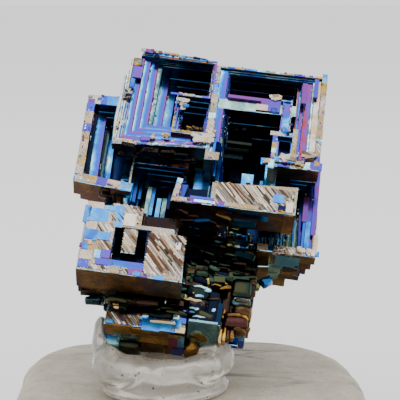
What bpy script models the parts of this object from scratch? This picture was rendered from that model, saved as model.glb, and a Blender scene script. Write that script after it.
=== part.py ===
"""Bismuth hopper crystal cluster, held above a flat stone by a lump of clear mounting putty.

The cluster is drawn in its own lattice frame, in millimetres: X right, Y back, Z up along the
hopper faces. lattice_matrix() then leans it back into the pose in which it is displayed. The
stand's frame has its origin on the stone's flat underside, with +Z up and the cluster's open
hoppers facing -Y.

Every crystal is a hopper: a stack of slabs that get smaller away from the mouth, with a stepped
funnel sunk into the mouth. All crystals of the cluster are grown together into one solid.
"""

import math
from dataclasses import dataclass

import bmesh
import bpy
from mathutils import Matrix, Vector

MM = 0.001

# Pose of the lattice above the stone.
LEAN_BACK_DEG = 43.0
YAW_DEG = 3.0
ROLL_DEG = 6.8
LATTICE_HEIGHT = 31.8
LATTICE_SHIFT = (1.6, -2.0)

# Stand.
STONE_HALF_WIDTH = 22.6
STONE_HALF_DEPTH = 23.4
STONE_TOP = 9.4
STONE_SIDES = 36
PUTTY_SIDES = 28
CONTACT_GAP = 0.32

MOUTH_OVERCUT = 1.2


@dataclass(frozen=True)
class Hopper:
    """One crystal: its mouth outline, its outer slabs and its funnel.

    outline is anticlockwise as seen from outside. A slab is (thickness, left, bottom, top, right),
    the insets being those of the slab behind it. A tread is (drop, left, bottom, top, right), the
    insets being those of the funnel step below it. rim is (left, bottom, top, right).
    """

    name: str
    facing: str
    front: float
    outline: tuple
    slabs: tuple
    rim: tuple = ()
    treads: tuple = ()


def even_slabs(count, thickness, inset):
    """Slabs that shrink by the same amount on all four sides."""
    return tuple((thickness, inset, inset, inset, inset) for _ in range(count))


def box_outline(left, right, bottom, top):
    return ((left, bottom), (right, bottom), (right, top), (left, top))


# The crystals whose slabs make up the body of the cluster.
CRYSTALS = (
    Hopper(
        "upper_left", "-Y", 0.0,
        ((-11.8, 6.9), (0.7, 8.0), (-0.4, 22.1), (-9.9, 22.7), (-10.3, 21.4), (-11.1, 21.2),
         (-11.5, 18.2), (-11.9, 17.8), (-12.1, 11.0)),
        ((2.1, 0.0, 0.35, 0.1, 0.5), (2.7, 0.3, 0.9, 0.6, 0.5), (2.0, 0.7, 0.9, 0.8, 0.8),
         (2.2, 0.9, 1.0, 0.9, 0.9), (2.9, 0.0, 0.0, 0.0, 0.0)),
        (0.7, 0.6, 0.9, 0.8),
        ((0.25, 0.6, 0.5, 0.1, 0.2), (0.25, 1.0, 0.5, 0.1, 0.2), (0.25, 1.0, 0.5, 0.1, 0.15),
         (0.3, 0.95, 0.4, 0.15, 0.15), (2.3, 0.75, 0.3, 0.25, 0.2), (1.2, 1.1, 0.3, 0.25, 0.2),
         (2.8, 1.35, 0.4, 0.5, 0.3), (2.6, 0.0, 0.0, 0.0, 0.0)),
    ),
    Hopper(
        "upper_right", "-Y", -0.12,
        ((-0.3, 6.3), (13.9, 6.6), (13.95, 21.6), (-0.35, 21.5)),
        ((2.4, 0.2, 0.4, 0.1, 0.4), (1.7, 0.2, 0.4, 0.5, 0.5), (2.6, 0.3, 0.5, 0.6, 0.5),
         (2.9, 0.4, 0.6, 0.7, 0.6), (3.3, 0.5, 0.7, 0.9, 0.7), (3.3, 0.0, 0.0, 0.0, 0.0)),
        (0.45, 1.2, 0.6, 0.85),
        ((0.35, 0.9, 0.1, 0.05, 0.75), (1.45, 0.85, 0.1, 0.05, 0.85), (1.3, 0.1, 0.1, 0.05, 0.55),
         (1.5, 0.1, 0.1, 1.6, 0.6), (2.1, 0.15, 0.1, 0.15, 0.3), (2.0, 0.2, 0.2, 0.3, 0.5),
         (2.1, 0.3, 0.2, 0.5, 0.9), (1.9, 0.4, 0.3, 0.8, 0.5), (1.8, 0.0, 0.0, 0.0, 0.0)),
    ),
    Hopper(
        "left", "-Y", -2.5,
        ((-15.9, 2.3), (-8.85, 1.7), (-8.85, 16.3), (-16.3, 16.1)),
        ((2.8, 0.6, 0.9, 0.6, 0.0), (2.3, 0.8, 0.9, 0.9, 0.0), (2.6, 1.0, 0.9, 1.0, 0.0),
         (2.4, 0.0, 0.0, 0.0, 0.0)),
        (1.1, 1.3, 1.5, 0.3),
        ((1.1, 0.5, 0.4, 0.3, 0.0), (0.6, 1.1, 0.5, 0.3, 0.1), (1.3, 0.6, 0.5, 0.4, 0.1),
         (1.1, 0.7, 0.5, 0.4, 0.1), (1.5, 0.0, 0.0, 0.0, 0.0)),
    ),
    Hopper(
        "lower_left", "-Y", 1.5,
        ((-12.85, -12.65), (-0.6, -12.75), (-0.95, -6.7), (-2.3, -6.2), (-2.45, -3.1),
         (-12.95, -3.5)),
        ((3.9, 0.3, 0.6, 0.2, 0.3), (2.3, 0.8, 0.8, 0.6, 0.7), (2.4, 0.8, 0.7, 0.7, 0.8),
         (2.7, 0.0, 0.0, 0.0, 0.0)),
        (1.6, 0.9, 1.3, 3.6),
        ((0.3, 1.7, 0.95, 0.2, 0.5), (0.9, 0.1, 0.1, 0.1, 0.1), (2.3, 0.0, 0.0, 0.0, 0.0)),
    ),
    Hopper(
        "middle", "-Y", 2.0,
        ((-3.35, -1.95), (11.45, -1.9), (11.5, 2.2), (1.6, 1.5), (-3.0, 1.1)),
        ((3.9, 0.2, 0.5, 0.1, 0.3), (2.6, 0.7, 0.5, 0.2, 0.8), (3.4, 0.0, 0.0, 0.0, 0.0)),
        (0.8, 0.7, -0.6, 10.2),
        ((0.9, 0.7, 0.5, 0.0, 0.4), (0.8, 0.0, 0.0, 0.0, 0.0)),
    ),
    Hopper(
        "lower_right", "-Y", -4.0,
        ((2.5, -3.35), (14.65, -3.5), (14.2, 8.4), (2.5, 8.2)),
        ((1.7, 0.3, 0.25, 0.3, 0.35), (1.6, 0.3, 0.25, 0.3, 0.5), (1.6, 0.4, 0.3, 0.4, 0.65),
         (2.1, 0.5, 0.35, 0.5, 1.6), (2.3, 0.0, 0.0, 0.0, 0.0)),
        (0.9, 1.0, 0.8, 0.55),
        ((0.4, 0.2, 0.3, 0.3, 0.9), (0.6, 0.2, 0.3, 0.3, 0.8), (0.8, 0.2, 0.3, 0.3, 0.7),
         (0.8, 0.3, 0.3, 0.3, 0.7), (0.9, 0.3, 0.3, 0.3, 0.65), (0.9, 0.3, 0.3, 0.3, 0.65),
         (0.9, 0.3, 0.3, 0.3, 0.65), (1.1, 0.0, 0.0, 0.0, 0.0)),
    ),
    Hopper(
        "core_strips", "-Y", -4.6,
        box_outline(-10.4, -2.2, -3.2, 8.1),
        ((2.6, 0.3, 0.3, 0.3, 0.3), (6.1, 0.0, 0.0, 0.0, 0.0)),
        (0.55, 0.4, 0.4, 0.5),
        ((0.7, 1.05, 0.3, 0.2, 0.25), (0.8, 1.1, 0.3, 0.2, 0.25), (0.9, 1.1, 0.3, 0.2, 0.25),
         (0.9, 1.1, 0.3, 0.3, 0.25), (1.5, 0.0, 0.0, 0.0, 0.0)),
    ),
    Hopper(
        "bottom", "-Y", -4.2,
        ((-9.1, -16.1), (0.4, -15.7), (0.3, -9.6), (-9.0, -10.2)),
        ((2.3, 0.15, 0.2, 0.3, 0.15), (2.1, 0.5, 0.4, 0.5, 0.4), (3.4, 0.0, 0.0, 0.0, 0.0)),
    ),
    Hopper(
        "left_foot", "-Z", 15.85,
        ((-9.35, -11.8), (-4.9, -11.9), (-4.9, -7.2), (-9.35, -7.2)),
        ((2.9, 0.3, 0.3, 0.3, 0.3), (3.5, 0.0, 0.0, 0.0, 0.0)),
        (0.8, 0.8, 0.9, 0.8),
        ((0.5, 0.6, 0.6, 0.6, 0.6), (0.7, 0.0, 0.0, 0.0, 0.0)),
    ),
    Hopper(
        "right_foot", "-Z", 15.6,
        ((-1.9, -11.6), (0.25, -11.6), (0.55, -8.1), (-2.1, -8.1)),
        ((6.4, 0.0, 0.0, 0.0, 0.0),),
    ),
    Hopper(
        "teal_block", "-Z", 15.1,
        ((0.75, -8.8), (4.35, -8.8), (4.35, -3.1), (0.75, -3.1)),
        ((3.1, 0.25, 0.4, 0.9, 0.3), (4.8, 0.0, 0.0, 0.0, 0.0)),
    ),
    Hopper(
        "gold_column", "-Z", 14.4,
        box_outline(4.15, 7.4, -9.15, -4.8),
        ((1.7, -0.15, -0.2, -0.4, -0.35), (2.3, -0.1, -0.1, -0.1, -0.1), (7.0, 0.0, 0.0, 0.0, 0.0)),
        (0.7, 0.7, 0.8, 0.8),
        ((0.6, 0.5, 0.6, 0.5, 0.5), (0.7, 0.0, 0.0, 0.0, 0.0)),
    ),
    Hopper(
        "heart", "-Y", -5.9,
        ((-9.6, -9.3), (6.9, -9.25), (6.95, -4.7), (9.2, -4.4), (9.25, 15.4), (-9.6, 15.4)),
        ((2.6, 0.5, 0.5, 0.5, 0.9), (3.7, 0.7, 0.6, 0.7, 1.2), (4.4, 0.0, 0.0, 0.0, 0.0)),
    ),
    Hopper(
        "back", "+Y", 19.2,
        box_outline(-8.2, 8.1, -0.9, 13.6),
        even_slabs(2, 1.4, 0.55) + ((2.2, 0.0, 0.0, 0.0, 0.0),),
        (0.7, 0.8, 0.6, 0.7),
        ((0.45, 0.8, 0.75, 0.8, 0.85), (0.5, 0.9, 0.8, 0.7, 0.8), (0.6, 1.0, 0.9, 0.8, 0.9),
         (0.6, 1.2, 1.1, 1.0, 1.1), (0.6, 0.0, 0.0, 0.0, 0.0)),
    ),
    Hopper(
        "back_left", "+Y", 14.4,
        box_outline(4.6, 12.1, 3.2, 14.1),
        even_slabs(3, 1.3, 0.5) + ((2.4, 0.0, 0.0, 0.0, 0.0),),
        (0.5, 0.6, 0.6, 0.7),
        ((0.4, 0.6, 0.7, 0.7, 0.6), (0.5, 0.6, 0.8, 0.8, 0.7), (0.8, 0.0, 0.0, 0.0, 0.0)),
    ),
    Hopper(
        "back_low", "+Y", 16.5,
        box_outline(-5.4, 5.2, -9.9, -1.6),
        even_slabs(2, 1.5, 0.5) + ((2.8, 0.0, 0.0, 0.0, 0.0),),
        (0.6, 0.7, 0.6, 0.6),
        ((0.4, 0.7, 0.7, 0.7, 0.7), (0.5, 0.8, 0.7, 0.7, 0.8), (0.7, 0.0, 0.0, 0.0, 0.0)),
    ),
    Hopper(
        "right_side", "+X", 12.9,
        box_outline(9.1, 17.4, 3.6, 14.3),
        even_slabs(2, 1.3, 0.5) + ((2.2, 0.0, 0.0, 0.0, 0.0),),
        (0.6, 0.6, 0.6, 0.6),
        ((0.4, 0.6, 0.7, 0.7, 0.7), (0.5, 0.7, 0.8, 0.8, 0.8), (0.6, 0.0, 0.0, 0.0, 0.0)),
    ),
    Hopper(
        "left_side", "-X", 11.7,
        box_outline(-13.9, -6.1, -5.3, 4.4),
        even_slabs(2, 1.2, 0.5) + ((1.6, 0.0, 0.0, 0.0, 0.0),),
        (0.6, 0.6, 0.6, 0.6),
        ((0.4, 0.6, 0.7, 0.7, 0.7), (0.5, 0.7, 0.8, 0.8, 0.8), (0.6, 0.0, 0.0, 0.0, 0.0)),
    ),
    Hopper(
        "top", "+Z", 19.3,
        box_outline(-7.2, 4.6, 9.6, 18.1),
        even_slabs(2, 1.2, 0.5) + ((2.4, 0.0, 0.0, 0.0, 0.0),),
        (0.7, 0.6, 0.7, 0.6),
        ((0.4, 0.8, 0.7, 0.6, 0.7), (0.4, 0.9, 0.7, 0.8, 0.8), (0.5, 0.0, 0.0, 0.0, 0.0)),
    ),
)

# Gaps that run between the crystals rather than down one funnel.
GAPS = (
    Hopper("under_upper_right", "-Y", 1.0, box_outline(0.9, 7.6, 1.7, 9.4),
           ((5.0, 0.3, 0.0, 0.0, 0.2), (2.1, 0.5, 0.3, 0.0, 0.5), (2.6, 0.0, 0.0, 0.0, 0.0))),
    Hopper("under_middle", "-Y", -3.6, box_outline(-0.3, 7.9, -8.4, -2.1),
           ((4.0, 0.4, 0.4, 0.2, 0.4), (1.5, 0.8, 0.8, 0.4, 0.8), (1.4, 0.0, 0.0, 0.0, 0.0))),
    Hopper("above_bottom", "-Y", -3.1, box_outline(-8.3, 1.3, -14.5, -10.9),
           ((3.1, 0.3, 0.3, 0.0, 0.0), (1.6, 0.0, 0.0, 0.0, 0.0))),
    Hopper("lower_left_corner", "-Y", 2.5, box_outline(-6.3, -1.5, -5.7, -2.0),
           ((2.0, 0.3, 0.3, 0.3, 0.3), (0.6, 0.0, 0.0, 0.0, 0.0))),
)

# Small crystals grown inside the funnels.
INNER_CRYSTALS = (
    Hopper(
        "upper_left_ring", "-Y", 0.1,
        box_outline(-4.85, 0.35, 9.7, 15.95),
        ((1.6, 0.3, 0.3, 0.3, 0.0), (8.9, 0.0, 0.0, 0.0, 0.0)),
        (0.75, 0.6, 1.3, 0.85),
        ((0.6, 0.3, 0.25, 0.3, 0.2), (0.7, 0.3, 0.25, 0.3, 0.2), (0.9, 0.3, 0.25, 0.3, 0.2),
         (1.5, 0.0, 0.0, 0.0, 0.0)),
    ),
    Hopper(
        "upper_right_ring", "-Y", 0.2,
        box_outline(7.8, 10.85, 7.05, 11.65),
        ((2.6, 0.2, 0.2, 0.3, 0.2), (5.4, 0.0, 0.0, 0.0, 0.0)),
        (0.6, 0.7, 0.7, 0.6),
        ((0.5, 0.3, 0.3, 0.3, 0.2), (1.1, 0.0, 0.0, 0.0, 0.0)),
    ),
    Hopper("void_post_left", "-Y", -3.9, box_outline(-1.3, 0.75, 2.6, 7.6),
           ((3.8, 0.0, 0.0, 0.0, 0.0),)),
    Hopper("void_post_middle", "-Y", -3.3, box_outline(4.5, 6.1, 3.3, 7.2),
           ((6.0, 0.0, 0.0, 0.0, 0.0),)),
    Hopper("void_post_right", "-Y", -2.2, box_outline(7.4, 9.1, 1.9, 6.9),
           ((4.5, 0.0, 0.0, 0.0, 0.0),)),
    Hopper("moat_island", "-Y", 1.38, box_outline(-8.4, -6.65, -9.85, -4.4),
           ((3.4, 0.0, 0.0, 0.0, 0.0),)),
    Hopper("melted_ridge_low", "-Y", -3.4, box_outline(-0.9, 4.1, -9.8, -7.9),
           ((3.9, 0.0, 0.0, 0.0, 0.0),)),
    Hopper("melted_ridge_high", "-Y", -4.9, box_outline(-0.8, 3.2, -7.5, -6.0),
           ((3.1, 0.0, 0.0, 0.0, 0.0),)),
)

# The crystals that the putty reaches, and which therefore press their shape into it.
GRIPPED = ("lower_left", "bottom", "left_foot", "right_foot", "teal_block", "gold_column",
           "heart", "back_low")

TURNS = {
    "-Y": lambda x, y, z: (x, y, z),
    "+Y": lambda x, y, z: (-x, -y, z),
    "+X": lambda x, y, z: (-y, x, z),
    "-X": lambda x, y, z: (y, -x, z),
    "+Z": lambda x, y, z: (x, z, -y),
    "-Z": lambda x, y, z: (x, -z, y),
}


def lattice_matrix():
    """Placement of the lattice frame in the stand's frame, in metres."""
    lean = Matrix.Rotation(math.radians(-LEAN_BACK_DEG), 4, "X")
    yaw = Matrix.Rotation(math.radians(-YAW_DEG), 4, "Z")
    roll = Matrix.Rotation(math.radians(ROLL_DEG), 4, "Y")
    place = Matrix.Translation(Vector((*LATTICE_SHIFT, LATTICE_HEIGHT)) * MM)
    return place @ roll @ yaw @ lean


def inset(outline, left, bottom, top, right):
    """Moves each corner of an outline inwards by the inset of the sides that it belongs to."""
    xs = [x for x, _ in outline]
    zs = [z for _, z in outline]
    mid_x = 0.5 * (min(xs) + max(xs))
    mid_z = 0.5 * (min(zs) + max(zs))
    return tuple(
        (x + (left if x < mid_x else -right), z + (bottom if z < mid_z else -top))
        for x, z in outline
    )


def four_corners(outline):
    """The outline's own bottom left, bottom right, top right and top left corners."""
    corners = ((-1, -1), (1, -1), (1, 1), (-1, 1))
    return tuple(max(outline, key=lambda p: p[0] * sx + p[1] * sz) for sx, sz in corners)


def on_grid(x, y, z):
    """A corner in metres, with faces meant to lie at one level put at exactly that level."""
    return Vector([round(c, 3) * MM for c in (x, y, z)])


def stack_mesh(name, facing, loops):
    """A closed stack of outlines, each given with its level behind the mouth."""
    turn = TURNS[facing]
    bm = bmesh.new()
    rows = [
        [bm.verts.new(on_grid(*turn(x, level, z))) for x, z in outline]
        for level, outline in loops
    ]
    bm.faces.new(rows[0])
    bm.faces.new(rows[-1][::-1])
    for near, far in zip(rows, rows[1:]):
        for i in range(len(near)):
            j = (i + 1) % len(near)
            bm.faces.new((near[i], far[i], far[j], near[j]))
    bmesh.ops.recalc_face_normals(bm, faces=bm.faces[:])
    mesh = bpy.data.meshes.new(name)
    bm.to_mesh(mesh)
    bm.free()
    return bpy.data.objects.new(name, mesh)


def slab_stack(hopper):
    """The outer body of one crystal."""
    level, outline, loops = -hopper.front, hopper.outline, []
    for thickness, *insets in hopper.slabs:
        loops.append((level, outline))
        level += thickness
        loops.append((level, outline))
        outline = inset(outline, *insets)
    return stack_mesh(f"{hopper.name}_slabs", hopper.facing, loops)


def funnel_stack(hopper):
    """The cutter that sinks a stepped funnel into the mouth of one crystal."""
    level = -hopper.front
    outline = inset(four_corners(hopper.outline), *hopper.rim)
    loops = [(level - MOUTH_OVERCUT, outline)]
    for drop, *insets in hopper.treads:
        level += drop
        loops.append((level, outline))
        outline = inset(outline, *insets)
        loops.append((level, outline))
    return stack_mesh(f"{hopper.name}_funnel", hopper.facing, loops[:-1])


def cut_or_grow(obj, operation, shapes):
    """Joins shapes to an object, or cuts them from it, and removes them afterwards."""
    collection = bpy.data.collections.new(operation.lower())
    bpy.context.scene.collection.children.link(collection)
    for shape in shapes:
        collection.objects.link(shape)
    boolean = obj.modifiers.new(operation.title(), "BOOLEAN")
    boolean.operand_type = "COLLECTION"
    boolean.collection = collection
    boolean.operation = operation
    boolean.solver = "EXACT"
    depsgraph = bpy.context.evaluated_depsgraph_get()
    result = bpy.data.meshes.new_from_object(obj.evaluated_get(depsgraph))
    obj.modifiers.remove(boolean)
    obj.data = result
    for shape in shapes:
        bpy.data.objects.remove(shape, do_unlink=True)
    bpy.data.collections.remove(collection)


def make_material(name, colour, roughness, metallic, transmission=0.0):
    material = bpy.data.materials.new(name)
    material.use_nodes = True
    shader = material.node_tree.nodes["Principled BSDF"]
    shader.inputs["Base Color"].default_value = (*colour, 1.0)
    shader.inputs["Roughness"].default_value = roughness
    shader.inputs["Metallic"].default_value = metallic
    shader.inputs["Transmission Weight"].default_value = transmission
    material.diffuse_color = (*colour, 1.0)
    return material


def build_crystal(matrix):
    """The cluster: bodies joined, funnels cut, then inner crystals joined and cut in turn."""
    first, *others = CRYSTALS
    cluster = slab_stack(first)
    cluster.name = "bismuth_crystal"
    bpy.context.scene.collection.objects.link(cluster)
    cut_or_grow(cluster, "UNION", [slab_stack(h) for h in others])
    funnels = [funnel_stack(h) for h in CRYSTALS if h.treads]
    cut_or_grow(cluster, "DIFFERENCE", funnels + [slab_stack(h) for h in GAPS])
    cut_or_grow(cluster, "UNION", [slab_stack(h) for h in INNER_CRYSTALS])
    cut_or_grow(cluster, "DIFFERENCE", [funnel_stack(h) for h in INNER_CRYSTALS if h.treads])
    cluster.data.transform(matrix)
    cluster.data.materials.clear()
    cluster.data.materials.append(make_material("bismuth_oxide", (0.16, 0.22, 0.42), 0.22, 0.9))


def ring_solid(name, rings):
    """A closed solid from level rings of points, lowest first, each anticlockwise from above."""
    bm = bmesh.new()
    rows = [[bm.verts.new(Vector(p) * MM) for p in ring] for ring in rings]
    bm.faces.new(rows[0][::-1])
    bm.faces.new(rows[-1])
    for low, high in zip(rows, rows[1:]):
        for i in range(len(low)):
            j = (i + 1) % len(low)
            bm.faces.new((low[i], low[j], high[j], high[i]))
    mesh = bpy.data.meshes.new(name)
    bm.to_mesh(mesh)
    bm.free()
    obj = bpy.data.objects.new(name, mesh)
    bpy.context.scene.collection.objects.link(obj)
    return obj


def stone_reach(angle):
    """How far the stone's edge lies from its middle, a lumpy rounded rectangle."""
    c, s = abs(math.cos(angle)), abs(math.sin(angle))
    oval = (c ** 3.2 + s ** 3.2) ** (-1 / 3.2)
    lumps = 1.0 + 0.018 * math.sin(3 * angle + 0.7) + 0.012 * math.sin(5 * angle + 2.0)
    return oval * lumps / 1.03


def build_stone():
    """A worn flat stone: level underside, bulging sides and an almost level top."""
    profile = ((0.0, 0.92), (1.0, 0.97), (3.2, 1.0), (6.0, 0.995), (7.9, 0.97), (8.9, 0.935),
               (STONE_TOP, 0.88))
    rings = []
    for height, scale in profile:
        ring = []
        for k in range(STONE_SIDES):
            angle = 2 * math.pi * k / STONE_SIDES
            reach = stone_reach(angle) * scale
            ring.append((STONE_HALF_WIDTH * reach * math.cos(angle),
                         STONE_HALF_DEPTH * reach * math.sin(angle), height))
        rings.append(ring)
    stone = ring_solid("base_stone", rings)
    stone.data.materials.append(make_material("weathered_stone", (0.42, 0.40, 0.35), 0.85, 0.0))
    return stone


def socket_shapes(hopper):
    """The room that one crystal takes up in the putty: each slab, a little larger all round."""
    level, outline, gap = -hopper.front, hopper.outline, CONTACT_GAP
    for thickness, *insets in hopper.slabs:
        grown = inset(outline, -gap, -gap, -gap, -gap)
        loops = [(level - gap, grown), (level + thickness + gap, grown)]
        yield stack_mesh("socket", hopper.facing, loops)
        level += thickness
        outline = inset(outline, *insets)


def build_putty(matrix):
    """The lump that grips the feet: a waisted column, spread out where it meets the stone."""
    middle_x, middle_y = LATTICE_SHIFT[0] - 4.3, LATTICE_SHIFT[1] - 3.2
    base = STONE_TOP + CONTACT_GAP
    profile = ((0.0, 7.8, 8.0), (0.4, 7.9, 8.1), (0.95, 7.0, 7.3), (1.7, 6.7, 7.0),
               (3.3, 6.8, 6.9), (4.6, 7.4, 7.0), (5.8, 7.8, 6.8), (6.6, 7.5, 6.2), (7.1, 6.6, 5.4))
    rings = []
    for rise, half_x, half_y in profile:
        ring = []
        for k in range(PUTTY_SIDES):
            angle = 2 * math.pi * k / PUTTY_SIDES
            lump = 1.0 + 0.035 * math.sin(3 * angle + 1.1 + 0.25 * rise)
            ring.append((middle_x + half_x * lump * math.cos(angle),
                         middle_y + half_y * lump * math.sin(angle), base + rise))
        rings.append(ring)
    putty = ring_solid("mounting_putty", rings)
    putty.data.transform(matrix.inverted())
    gripped = [h for h in CRYSTALS if h.name in GRIPPED]
    cut_or_grow(putty, "DIFFERENCE", [shape for h in gripped for shape in socket_shapes(h)])
    putty.data.transform(matrix)
    putty.data.materials.clear()
    putty.data.materials.append(make_material("clear_putty", (0.86, 0.85, 0.82), 0.3, 0.0, 0.8))


def main():
    for obj in list(bpy.data.objects):
        bpy.data.objects.remove(obj, do_unlink=True)
    matrix = lattice_matrix()
    build_crystal(matrix)
    build_putty(matrix)
    build_stone()


main()
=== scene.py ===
"""Bismuth hopper crystal, clear mounting putty and worn stone, with their finishes.

The cluster is modelled in its own lattice frame, in millimetres: X right, Y back, Z up along the
hopper faces. Each crystal is a stack of slabs with a stepped funnel sunk into its mouth. Stacks are
drawn flat, with the mouth facing +Z, then turned to their facing, joined and cut, and the finished
cluster is leaned back into its pose.
"""

import logging
import math
import random
from dataclasses import dataclass
from enum import Enum, IntEnum

import bmesh
import bpy
from mathutils import Matrix, Vector, noise
from mathutils.bvhtree import BVHTree


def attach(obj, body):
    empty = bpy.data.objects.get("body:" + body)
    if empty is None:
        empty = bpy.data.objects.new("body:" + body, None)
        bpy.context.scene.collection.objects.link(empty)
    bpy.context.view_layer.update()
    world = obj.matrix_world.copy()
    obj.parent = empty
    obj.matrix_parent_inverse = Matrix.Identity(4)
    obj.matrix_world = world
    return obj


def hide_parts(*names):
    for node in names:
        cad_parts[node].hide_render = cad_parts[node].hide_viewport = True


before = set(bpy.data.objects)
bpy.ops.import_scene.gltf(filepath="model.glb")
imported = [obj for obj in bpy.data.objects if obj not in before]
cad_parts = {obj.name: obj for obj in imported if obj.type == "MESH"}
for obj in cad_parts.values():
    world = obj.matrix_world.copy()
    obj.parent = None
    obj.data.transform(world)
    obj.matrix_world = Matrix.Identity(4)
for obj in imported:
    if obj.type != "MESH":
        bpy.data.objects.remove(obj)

log = logging.getLogger("bismuth")

# In millimetres: the fine grid, the lip on each step's edge and how far a cutter starts outside.
# Then the numbers a face's mark has room for, the depth that a strip counts in for the painted
# shade down the funnels, the darkest shade and the seed of the noise that kneads the pieces.
MM = 0.001
GRID = 0.001
LIP = 0.07
OVERCUT = 1.2
KINDS, STEPS, SIDES = 16, 32, 4
DEPTH_SPAN = 20.0
BLACKEST = 0.97
NOISE_SEED = 1


class Facing(Enum):
    """Which way a crystal's mouth points, as the turn from the drawing frame."""

    FRONT = ((1, 0, 0), (0, 0, -1), (0, 1, 0))
    BACK = ((-1, 0, 0), (0, 0, 1), (0, 1, 0))
    RIGHT = ((0, 0, 1), (1, 0, 0), (0, 1, 0))
    LEFT = ((0, 0, -1), (-1, 0, 0), (0, 1, 0))
    UP = ((1, 0, 0), (0, 1, 0), (0, 0, 1))
    DOWN = ((1, 0, 0), (0, -1, 0), (0, 0, -1))


class Side(IntEnum):
    """The side of a crystal that a face belongs to."""

    LEFT = 0
    BOTTOM = 1
    TOP = 2
    RIGHT = 3


class Kind(IntEnum):
    """What a face is on its crystal."""

    RIM = 0
    TREAD = 1
    RISER = 2
    LIP = 3
    WALL = 4
    LEDGE = 5
    FLOOR = 6
    EDGE = 7


@dataclass(frozen=True)
class Tone:
    """The oxide on one kind of face.

    start and end are the film's thickness at the outer and the inner edge, shade darkens towards
    black, both for the film's own dark tones and as painted shade in recesses, gaps, under the
    crystals and down the funnels, grain striates, patch is how far the thickness wanders, and drift
    how far it changes from step to step.
    """

    start: float
    end: float
    shade: float = 0.0
    grain: float = 0.0
    patch: float = 0.12
    drift: float = 0.0


@dataclass(frozen=True)
class Coat:
    """The tones of one crystal, each as a Tone's values. Rows of tones go by tread or by side."""

    rim: tuple = (0.03, 0.03, 0.05, 0.5, 0.05)
    treads: tuple = ((0.84, 0.34, 0, 0, 0.06), (0.8, 0.36, 0, 0, 0.06))
    low_treads: tuple = ((0.72, 0.34), (0.66, 0.33), (0.7, 0.36))
    top_treads: tuple = ((0.6, 0.4, 0.4), (0.62, 0.5, 0.7))
    right_treads: tuple = ((0.78, 0.42), (0.74, 0.36))
    # The risers are dark: painted shade on the walls of the steps.
    risers: tuple = ((0.6, 0.5, 0.88), (0.6, 0.5, 0.5), (0.54, 0.5, 0.92),
                     (0.56, 0.5, 0.6))
    # Lips by side. The left ones are near black, a painted shade line beside each step, and the top
    # ones are dimmed as painted shade; the bottom and right ones are pale blue, partly the film's
    # tone and partly a painted highlight along the step edges.
    lips: tuple = ((0.5, 0.5, 0.9, 0, 0), (0.78, 0.78), (0.72, 0.72, 0.8),
                   (0.8, 0.8))
    walls: tuple = ((0.4, 0.58, 0.18, 0.4, 0.1, 0.26), (0.165, 0.18, 0.1, 0.5, 0.03),
                    (0.58, 0.42, 0.18, 0.4, 0.1, 0.26), (0.34, 0.54, 0.18, 0.4, 0.1, 0.26))
    ledge: tuple = (0.6, 0.7, 0.35, 0.1, 0.1)
    # The slabs' bevelled edges are ice white: partly the film's pale tone, partly a painted
    # highlight along the edges.
    edge: tuple = (0.81, 0.81, 0, 0, 0.1)
    # The floor is dark: painted shade at the bottom of the funnel.
    floor: tuple = (0.55, 0.55, 0.8)


@dataclass(frozen=True)
class Hopper:
    """One crystal, in millimetres.

    outline is anticlockwise as seen from outside. A slab is (thickness, left, bottom, top, right),
    the insets being those of the slab behind it. A tread is (drop, left, bottom, top, right), the
    insets being those of the funnel step below it. The last slab and the last tread have no insets.
    rim is (left, bottom, top, right), and mouth is the funnel's own outline where it doesn't follow
    the rim.
    """

    name: str
    facing: Facing
    front: float
    outline: tuple
    slabs: tuple
    rim: tuple = ()
    treads: tuple = ()
    coat: Coat = Coat()
    mouth: tuple = ()

    def mouth_outline(self) -> tuple:
        """The funnel's outline at the mouth: as given, or the crystal's corners inside the rim."""
        return self.mouth or inset(four_corners(self.outline), *self.rim)


def box_outline(left: float, right: float, bottom: float, top: float) -> tuple:
    """A rectangle, anticlockwise from its bottom left corner."""
    return ((left, bottom), (right, bottom), (right, top), (left, top))


def even_slabs(count: int, thickness: float, inset: float) -> tuple:
    """Slabs that shrink by the same amount on all four sides."""
    return tuple((thickness, inset, inset, inset, inset) for _ in range(count))


# Blue and teal strips with a high shade: painted shade, as these crystals lie in the shadow of
# those above them.
BLUE_GREEN = Coat(
    treads=((0.9, 0.64, 0.55), (0.7, 0.64, 0.6), (0.9, 0.64, 0.65),
            (0.66, 0.62, 0.7)),
    low_treads=((0.92, 0.64, 0.6), (0.66, 0.94, 0.7)),
    right_treads=((0.44, 0.36, 0.3), (0.6, 0.44, 0.6), (0.93, 0.66, 0.8)),
    risers=((0.66, 0.56, 0.85), (0.62, 0.55, 0.6), (0.6, 0.55, 0.94),
            (0.62, 0.55, 0.88)),
    lips=((0.5, 0.5, 0.9, 0, 0), (0.78, 0.78, 0.3), (0.72, 0.72, 0.85),
          (0.88, 0.88, 0.5)),
    walls=((0.5, 0.66, 0.35, 0.1, 0.2), (0.165, 0.15, 0.3, 0.5, 0.03),
           (0.6, 0.66, 0.4, 0.1, 0.2), (0.56, 0.68, 0.4, 0.1, 0.2)),
)
BROWN_BLOCK = Coat(
    rim=(0.03, 0.03, 0.1, 0.7, 0.05),
    treads=((0.46, 0.6, 0.4), (0.6, 0.6, 0.9)),
    low_treads=((0.62, 0.5), (0.6, 0.6, 0.9)),
    right_treads=((0.6, 0.6, 0.9),),
    # Risers and floor near black: painted shade in the funnel and the moat.
    risers=((0.5, 0.5, 0.96),) * 4,
    floor=(0.5, 0.5, 0.95),
)
GOLD_MELT = Coat(
    rim=(0.12, 0.15, 0.55, 0.1, 0.08),
    walls=((0.13, 0.16, 0.7, 0.1, 0.08), (0.14, 0.18, 0.8, 0.1, 0.08),
           (0.16, 0.18, 0.84, 0.1, 0.06), (0.12, 0.18, 0.7, 0.1, 0.08)),
    ledge=(0.12, 0.12, 0.6, 0, 0.1),
)
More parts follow.
